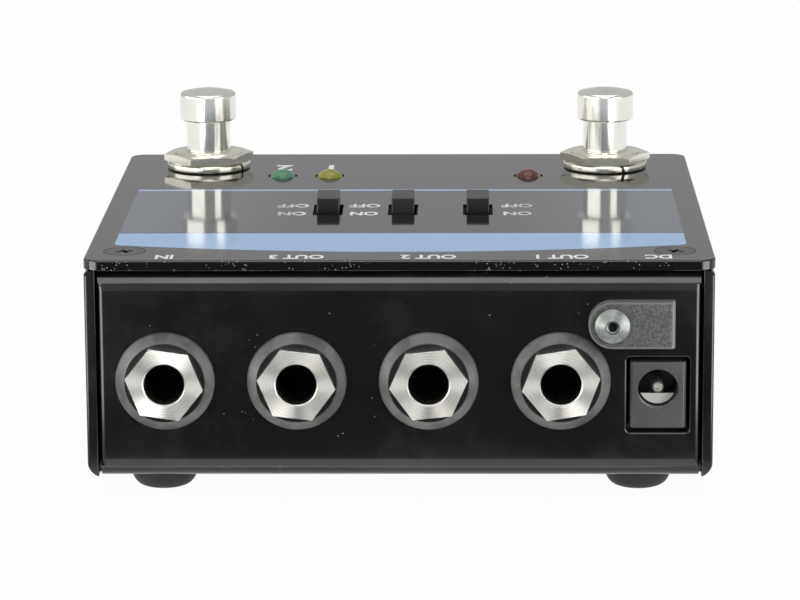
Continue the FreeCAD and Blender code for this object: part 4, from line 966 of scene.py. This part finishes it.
FOOTSWITCH_NUT_FLATS = 0.0140
FOOTSWITCH_NUT_CHAMFER = 0.0002
FOOTSWITCH_NUT_MOUTH = 0.0003
FOOTSWITCH_NUT_EDGE = 0.00008
FOOTSWITCH_NUT_TURNS = {"left": 10.0, "right": 0.0}
LOCK_WASHER_OUTER = 0.0150
LOCK_WASHER_ROUND = 0.00035
LOCK_WASHER_EDGE = 0.00005
SPLIT_WIDTH = 0.00055
SPLIT_SLANT = 14
SPLIT_TURNS = {"left": -32.0, "right": -65.0}
BUSHING = 0.0119
BUSHING_RISE = 0.0032
BUSHING_BORE = 0.00396
BUSHING_CHAMFER = 0.0005
THREAD_PITCH = 0.00075
THREAD_DEPTH = 0.0003
THREAD_START = 0.0002
THREAD_END = 0.0008
THREAD_CREST = (0.42, 0.58)
FRAME_DEPTH = 0.0068
FRAME_WIDTH = 0.0170
FRAME_LEG = 0.0090
FRAME_GAUGE = 0.0012


def make_footswitch(side):
    spot = middle_of(side + "_footswitch_frame")
    place = Vector((spot.x, spot.y, PLATE_TOP))
    make_lock_washer(side, place)
    make_footswitch_nut(side, place)
    make_bushing(side, place)
    make_switch_frame(side)
    make_plunger(side, place)


def make_lock_washer(side, place):
    """A split washer of nearly round wire."""
    inner, outer = BUSHING / 2 + STEP, LOCK_WASHER_OUTER / 2
    top = size_of(side + "_footswitch_washer").z
    edge = LOCK_WASHER_ROUND
    profile = (arc((inner + edge, edge), edge, 180, 270, 3) + arc((outer - edge, edge), edge, 270, 360, 4)
               + arc((outer - edge, top - edge), edge, 0, 90, 4)
               + arc((inner + edge, top - edge), edge, 90, 180, 3))
    washer = make_object(lathe(profile, 72), side + "_lock_washer", MATERIALS["satin"])
    gap = prism(rectangle(LOCK_WASHER_OUTER, SPLIT_WIDTH, outer, 0), -BEYOND, BEYOND)
    turn = Matrix.Rotation(math.radians(SPLIT_TURNS[side]), 4, "Z")
    slant = Matrix.Rotation(math.radians(SPLIT_SLANT), 4, "X")
    combine(washer, make_object(moved(gap, (0, 0, 0), turn @ slant), "gap", None), "DIFFERENCE")
    washer.data.transform(Matrix.Translation(place))
    soften(washer, LOCK_WASHER_EDGE, angle=50)
    dress(washer, "case", "satin_nickel", side + "_footswitch_washer")


def make_footswitch_nut(side, place):
    """The hexagon nut, its corners turned off above and below."""
    low, high = (corner.z - PLATE_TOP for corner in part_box(side + "_footswitch_nut"))
    corner = FOOTSWITCH_NUT_FLATS / math.sqrt(3)
    flat = FOOTSWITCH_NUT_FLATS / 2
    hole = BUSHING / 2 + STEP / 2
    profile = [
        (hole, low),
        (flat, low),
        (corner, low + 1.5 * FOOTSWITCH_NUT_CHAMFER),
        (corner + STEP, low + 2 * FOOTSWITCH_NUT_CHAMFER),
        (corner + STEP, high - FOOTSWITCH_NUT_MOUTH),
        (corner, high - 1.2 * FOOTSWITCH_NUT_CHAMFER),
        (flat, high),
        (hole + FOOTSWITCH_NUT_MOUTH, high),
        (hole, high - FOOTSWITCH_NUT_MOUTH),
    ]
    nut = cut_from_bar(side + "_ring_nut", MATERIALS["satin"], profile,
                       FOOTSWITCH_NUT_FLATS, FOOTSWITCH_NUT_TURNS[side])
    nut.data.transform(Matrix.Translation(place))
    soften(nut, FOOTSWITCH_NUT_EDGE, angle=20)
    dress(nut, "case", "satin_nickel", side + "_footswitch_nut")


def make_bushing(side, place):
    """The threaded bushing over the switch's frame: the thread is a stack of fine rings."""
    foot = -FRAME_DEPTH - FRAME_GAUGE
    radius = BUSHING / 2
    root = radius - THREAD_DEPTH
    profile = [(BUSHING_BORE, foot), (root, foot), (root, -FRAME_DEPTH)]
    height = THREAD_START - FRAME_DEPTH
    while height < BUSHING_RISE - THREAD_END:
        profile.append((root, height))
        profile += [(radius, height + THREAD_PITCH * share) for share in THREAD_CREST]
        height += THREAD_PITCH
    profile += [
        (root, BUSHING_RISE - BUSHING_CHAMFER),
        (radius - 7 * STEP, BUSHING_RISE - STEP),
        (radius - 9 * STEP, BUSHING_RISE),
        (BUSHING_BORE + 3 * STEP, BUSHING_RISE),
        (BUSHING_BORE, BUSHING_RISE - 3 * STEP),
    ]
    dress(turned(side + "_bushing", MATERIALS["satin"], profile, 72, place), "case", "satin_nickel")


def make_switch_frame(side):
    """The folded steel frame that holds the switch's housing."""
    low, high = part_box(side + "_footswitch_frame")
    frame_top = PLATE_TOP - FRAME_DEPTH
    length = high.y - low.y
    spot = (low + high) / 2
    bm = prism(rectangle(FRAME_WIDTH, length, spot.x, spot.y), frame_top - FRAME_GAUGE, frame_top)
    for sign in (-1, 1):
        foot = rectangle(FRAME_LEG, FRAME_GAUGE, spot.x, spot.y + sign * (length - FRAME_GAUGE) / 2)
        join_shape(bm, prism(foot, low.z, frame_top - FRAME_GAUGE))
    piece = make_object(bm, side + "_switch_frame", MATERIALS["satin"])
    soften(piece, STEP)
    dress(piece, "case", "satin_nickel", side + "_footswitch_frame")


NECK_RADIUS = 0.0039
NECK_EDGE = 0.0002
CAP_RADIUS = 0.005025
CAP_BOTTOM = 0.0089
CAP_LIP = 0.0003
CAP_CORNER = 0.00065
CAP_CORNER_TOP = 0.01385
CAP_REACH = 0.00435


def make_plunger(side, place):
    """The turned plunger with its cap: a small rounded corner under a shallow dome."""
    low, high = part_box(side + "_footswitch_plunger")
    bottom, top = low.z - PLATE_TOP, high.z - PLATE_TOP
    profile = [
        (0, bottom),
        (NECK_RADIUS - NECK_EDGE, bottom),
        (NECK_RADIUS, bottom + NECK_EDGE),
        (NECK_RADIUS, CAP_BOTTOM - NECK_EDGE),
        (NECK_RADIUS + NECK_EDGE, CAP_BOTTOM),
    ]
    profile += arc((CAP_RADIUS - CAP_LIP, CAP_BOTTOM + CAP_LIP), CAP_LIP, 270, 360, 4)
    profile += arc((CAP_RADIUS - CAP_CORNER, CAP_CORNER_TOP - CAP_CORNER), CAP_CORNER, 0, 90, 6)
    rise = top - CAP_CORNER_TOP
    dome = (CAP_REACH * CAP_REACH + rise * rise) / (2 * rise)
    spread = math.degrees(math.asin(CAP_REACH / dome))
    profile += arc((0, top - dome), dome, 90 - spread, 90, 8)[1:-1] + [(0, top)]
    plunger = turned(side + "_plunger", MATERIALS["chrome"], profile, 96, place)
    dress(plunger, side + "_button", "cap_chrome", side + "_footswitch_plunger")


# Lamps, knobs, screws and feet

LAMP_SUNK = 0.0010
KNOB_EDGE = 0.0002


def make_lamp(colour):
    """A round lamp body under a dome that starts a little below the plate's top."""
    low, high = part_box(colour + "_lamp")
    radius = (high.x - low.x) / 2
    dome = high.z - PLATE_TOP + LAMP_SUNK
    shoulder = high.z - dome
    profile = [(0, low.z), (radius - 2 * STEP, low.z), (radius, low.z + 2 * STEP)]
    profile += arc((0, shoulder), radius, 0, 90, 10, rise=dome)[:-1] + [(0, high.z)]
    spot = ((low.x + high.x) / 2, (low.y + high.y) / 2, 0)
    lamp = turned(colour + "_lamp_lens", MATERIALS[colour + "_lens"], profile, 48, spot)
    dress(lamp, "case", colour + "_lens", colour + "_lamp")


COVER_SCREW_SHANK = 0.00175
CROSS_WIDTH = 0.0007
CROSS_LENGTH = 0.0028
CROSS_DEPTH = 0.0012
CROSS_TURNS = (25, 65)


def make_cover_screws():
    """Two countersunk screws with a cross recess, their heads level with the plate."""
    depth = size_of("cover_screws").z
    sink = SCREW_SINK / 2 - COVER_SCREW_SHANK
    head = SCREW_SINK / 2 - STEP
    profile = [
        (0, -depth),
        (COVER_SCREW_SHANK, -depth),
        (COVER_SCREW_SHANK, -sink),
        (head, -STEP),
        (head - STEP, 0),
        (0, 0),
    ]
    for index, spot in enumerate(screw_spots()):
        screw = make_object(lathe(profile, 48), "cover_screw_%d" % index, MATERIALS["black_screw"])
        turn = Matrix.Rotation(math.radians(CROSS_TURNS[index]), 4, "Z")
        for width, length in ((CROSS_LENGTH, CROSS_WIDTH), (CROSS_WIDTH, CROSS_LENGTH)):
            slot = moved(prism(rectangle(width, length), -CROSS_DEPTH, BEYOND), (0, 0, 0), turn)
            combine(screw, make_object(slot, "slot", None), "DIFFERENCE")
        screw.data.transform(Matrix.Translation((spot.x, spot.y, PLATE_TOP)))
        soften(screw, SCREW_EDGE)
        dress(screw, "case", "black_screw")
    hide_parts("cover_screws")


FOOT_RADIUS = 0.0055
FOOT_HEIGHT = 0.0038
FOOT_SOLE = 0.0033
FOOT_ROUND = 0.0030


def make_feet():
    """Four round feet whose sides curve in to the sole."""
    low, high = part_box("rubber_feet")
    side = arc((FOOT_SOLE, FOOT_ROUND), FOOT_RADIUS - FOOT_SOLE, 270, 360, 8, rise=FOOT_ROUND)
    profile = [(0, 0), *side, (FOOT_RADIUS, FOOT_HEIGHT), (0, FOOT_HEIGHT)]
    pieces = []
    for x in (low.x + FOOT_RADIUS, high.x - FOOT_RADIUS):
        for y in (low.y + FOOT_RADIUS, high.y - FOOT_RADIUS):
            foot = turned("foot_%d" % len(pieces), MATERIALS["rubber"], profile, 64, (x, y, 0))
            dress(foot, "case", "foot_rubber")
            pieces.append(foot)
    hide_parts("rubber_feet")


# The inside

INSIDE = {
    "cover_nuts": "zinc", "plate_hook": "zinc", "main_board_standoffs": "zinc",
    "switch_board_standoffs": "zinc", "board_screws": "zinc", "clamp_nut": "zinc",
    "jack_contacts": "bronze", "dc_sleeve_contact": "contact", "lamp_leads": "contact",
    "slide_switch_terminals": "contact", "main_board": "laminate", "switch_board": "laminate",
    "isolation_transformer": "transformer", "board_link": "header", "footswitch_back_nuts": "satin",
}
INSIDE.update({jack + "_jack_body": "jack_plastic" for jack in JACKS})
INSIDE.update({side + "_footswitch_housing": "housing" for side in SIDES})
INSIDE.update({side + "_footswitch_terminals": "lug_board" for side in SIDES})
INSIDE.update({name + "_slide_frame": "zinc" for name in SLIDES})


def finish_inside():
    for node, finish in INSIDE.items():
        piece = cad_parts[node]
        piece.data.materials.clear()
        piece.data.materials.append(MATERIALS[finish])


# Floor, light and camera

FLOOR_HALF = 6.0
FLOOR_GREY = (0.92, 0.92, 0.92)
FLOOR_WHITE = 0.96


def larger(tree, first, second):
    return add_node(tree, "Math", {0: first, 1: second}, operation="MAXIMUM").outputs["Value"]


def ray_switches(tree):
    """Two switches: one for the camera's own rays, and one for mirrored and refracted rays too."""
    rays = add_node(tree, "LightPath", {}).outputs
    straight = rays["Is Camera Ray"]
    mirrored = larger(tree, straight, rays["Is Glossy Ray"])
    return straight, larger(tree, mirrored, rays["Is Transmission Ray"])


def make_floor():
    """A floor that shows white and still throws its own grey light on the pedal."""
    bm = bmesh.new()
    bmesh.ops.create_grid(bm, x_segments=1, y_segments=1, size=FLOOR_HALF)
    finish = Finish("pale_floor", FLOOR_GREY, 0.6)
    shown = ray_switches(finish.tree)[1]
    white = finish.add("Emission", {}).outputs[0]
    share = finish.math("MULTIPLY", shown, FLOOR_WHITE)
    mixed = finish.add("MixShader", {0: share, 1: finish.shader.outputs[0], 2: white})
    surface = finish.tree.nodes["Material Output"].inputs["Surface"]
    finish.tree.links.new(mixed.outputs[0], surface)
    make_object(bm, "floor", finish.material, smooth=False)


CARD_WIDTH = 0.15
CARD_LENGTH = 0.25
CARD_Y = -0.177


def make_dark_card():
    """A black card just over the floor before the jack panel, which only glossy surfaces mirror."""
    bm = prism(rectangle(CARD_WIDTH, CARD_LENGTH, 0, CARD_Y), 2 * STEP, 8 * STEP)
    finish = Finish("black_card", (0.01, 0.01, 0.01), 0.9)
    card = make_object(bm, "dark_card", finish.material, smooth=False)
    card.visible_camera = False
    card.visible_diffuse = False
    card.visible_transmission = False
    card.visible_shadow = False


WHITE = (1, 1, 1)
WORLD_DIFFUSE = 0.35
WORLD_MIRRORED = 0.56


def make_world():
    """A white surround for the camera, dimmer in what the pedal mirrors and on the pedal itself."""
    world = bpy.data.worlds.new("studio")
    bpy.context.scene.world = world
    world.use_nodes = True
    tree = world.node_tree
    background = tree.nodes["Background"].inputs
    background["Color"].default_value = (*WHITE, 1)
    straight, shown = ray_switches(tree)
    inputs = {"Value": shown, "To Min": WORLD_DIFFUSE, "To Max": WORLD_MIRRORED}
    level = add_node(tree, "MapRange", inputs).outputs["Result"]
    tree.links.new(larger(tree, level, straight), background["Strength"])


PEDAL_MIDDLE = (0, 0, 0.03)


def add_softbox(name, place, aim, width, height, radiance, colour=WHITE, mirrored_only=False):
    """A rectangular lamp of an even brightness, unseen by the camera itself."""
    light = bpy.data.lights.new(name, "AREA")
    light.shape = "RECTANGLE"
    light.size = width
    light.size_y = height
    light.energy = radiance * math.pi * width * height
    light.color = colour
    lamp = bpy.data.objects.new(name, light)
    bpy.context.scene.collection.objects.link(lamp)
    lamp.visible_camera = False
    lamp.visible_diffuse = not mirrored_only
    direction = Vector(aim) - Vector(place)
    turn = direction.to_track_quat("-Z", "Y").to_matrix().to_4x4()
    lamp.matrix_world = Matrix.Translation(place) @ turn


def make_lights():
    """Four softboxes light the pedal, and four more are there only for what it mirrors."""
    add_softbox("overhead_softbox", (0, 0.05, 1.0), PEDAL_MIDDLE,
                width=0.8, height=0.8, radiance=1.4)
    add_softbox("front_softbox", (0, -1.00, 0.90), PEDAL_MIDDLE,
                width=0.46, height=0.80, radiance=1.7)
    add_softbox("left_softbox", (-0.90, -0.42, 0.30), PEDAL_MIDDLE,
                width=1.7, height=0.56, radiance=2.4, colour=(1.0, 0.99, 0.96))
    add_softbox("right_softbox", (0.85, -0.70, 0.30), PEDAL_MIDDLE,
                width=0.70, height=0.56, radiance=2.4, colour=(1.0, 0.99, 0.95))
    for side, sign in (("left", -1), ("right", 1)):
        add_softbox("low_strip_" + side, (sign * 0.088, -0.082, 0.022), (0, 0.01, 0.022),
                    width=0.052, height=0.044, radiance=5.8, mirrored_only=True)
    add_softbox("front_strip", (0, -0.99, 0.89), PEDAL_MIDDLE,
                width=0.60, height=0.70, radiance=2.2, mirrored_only=True)
    add_softbox("table_strip", (0, -0.054, 0.001), (0, -0.054, 1.0),
                width=0.11, height=0.014, radiance=1.8, mirrored_only=True)


# The camera stands where the photograph was taken from
CAMERA_PLACE = (0.0113406, -0.6397058, 0.1672501)
CAMERA_DOWN = 12.681
CAMERA_TURN = -1.07515
CAMERA_ROLL = -0.26788
CAMERA_LENS = 171.083
CAMERA_FILM = 36


def make_camera():
    data = bpy.data.cameras.new("camera")
    data.lens = CAMERA_LENS
    data.sensor_width = CAMERA_FILM
    data.clip_start = 0.01
    data.clip_end = 50
    camera = bpy.data.objects.new("camera", data)
    bpy.context.scene.collection.objects.link(camera)
    camera.matrix_world = (Matrix.Translation(CAMERA_PLACE)
                           @ Matrix.Rotation(math.radians(-CAMERA_TURN), 4, "Z")
                           @ Matrix.Rotation(math.radians(90 - CAMERA_DOWN), 4, "X")
                           @ Matrix.Rotation(math.radians(CAMERA_ROLL), 4, "Z"))
    bpy.context.scene.camera = camera


build_materials()
make_case()
make_label()
for jack in JACKS:
    make_jack(jack)
make_power_socket()
make_cable_clamp()
for side in SIDES:
    make_footswitch(side)
for colour in LAMPS:
    make_lamp(colour)
for name in SLIDES:
    dress_copy(name + "_slide_knob", name + "_knob", "knob", KNOB_EDGE, name + "_slider", "knob_plastic")
make_cover_screws()
make_feet()
finish_inside()
make_floor()
make_dark_card()
make_world()
make_lights()
make_camera()
bpy.context.scene.view_settings.view_transform = "Standard"
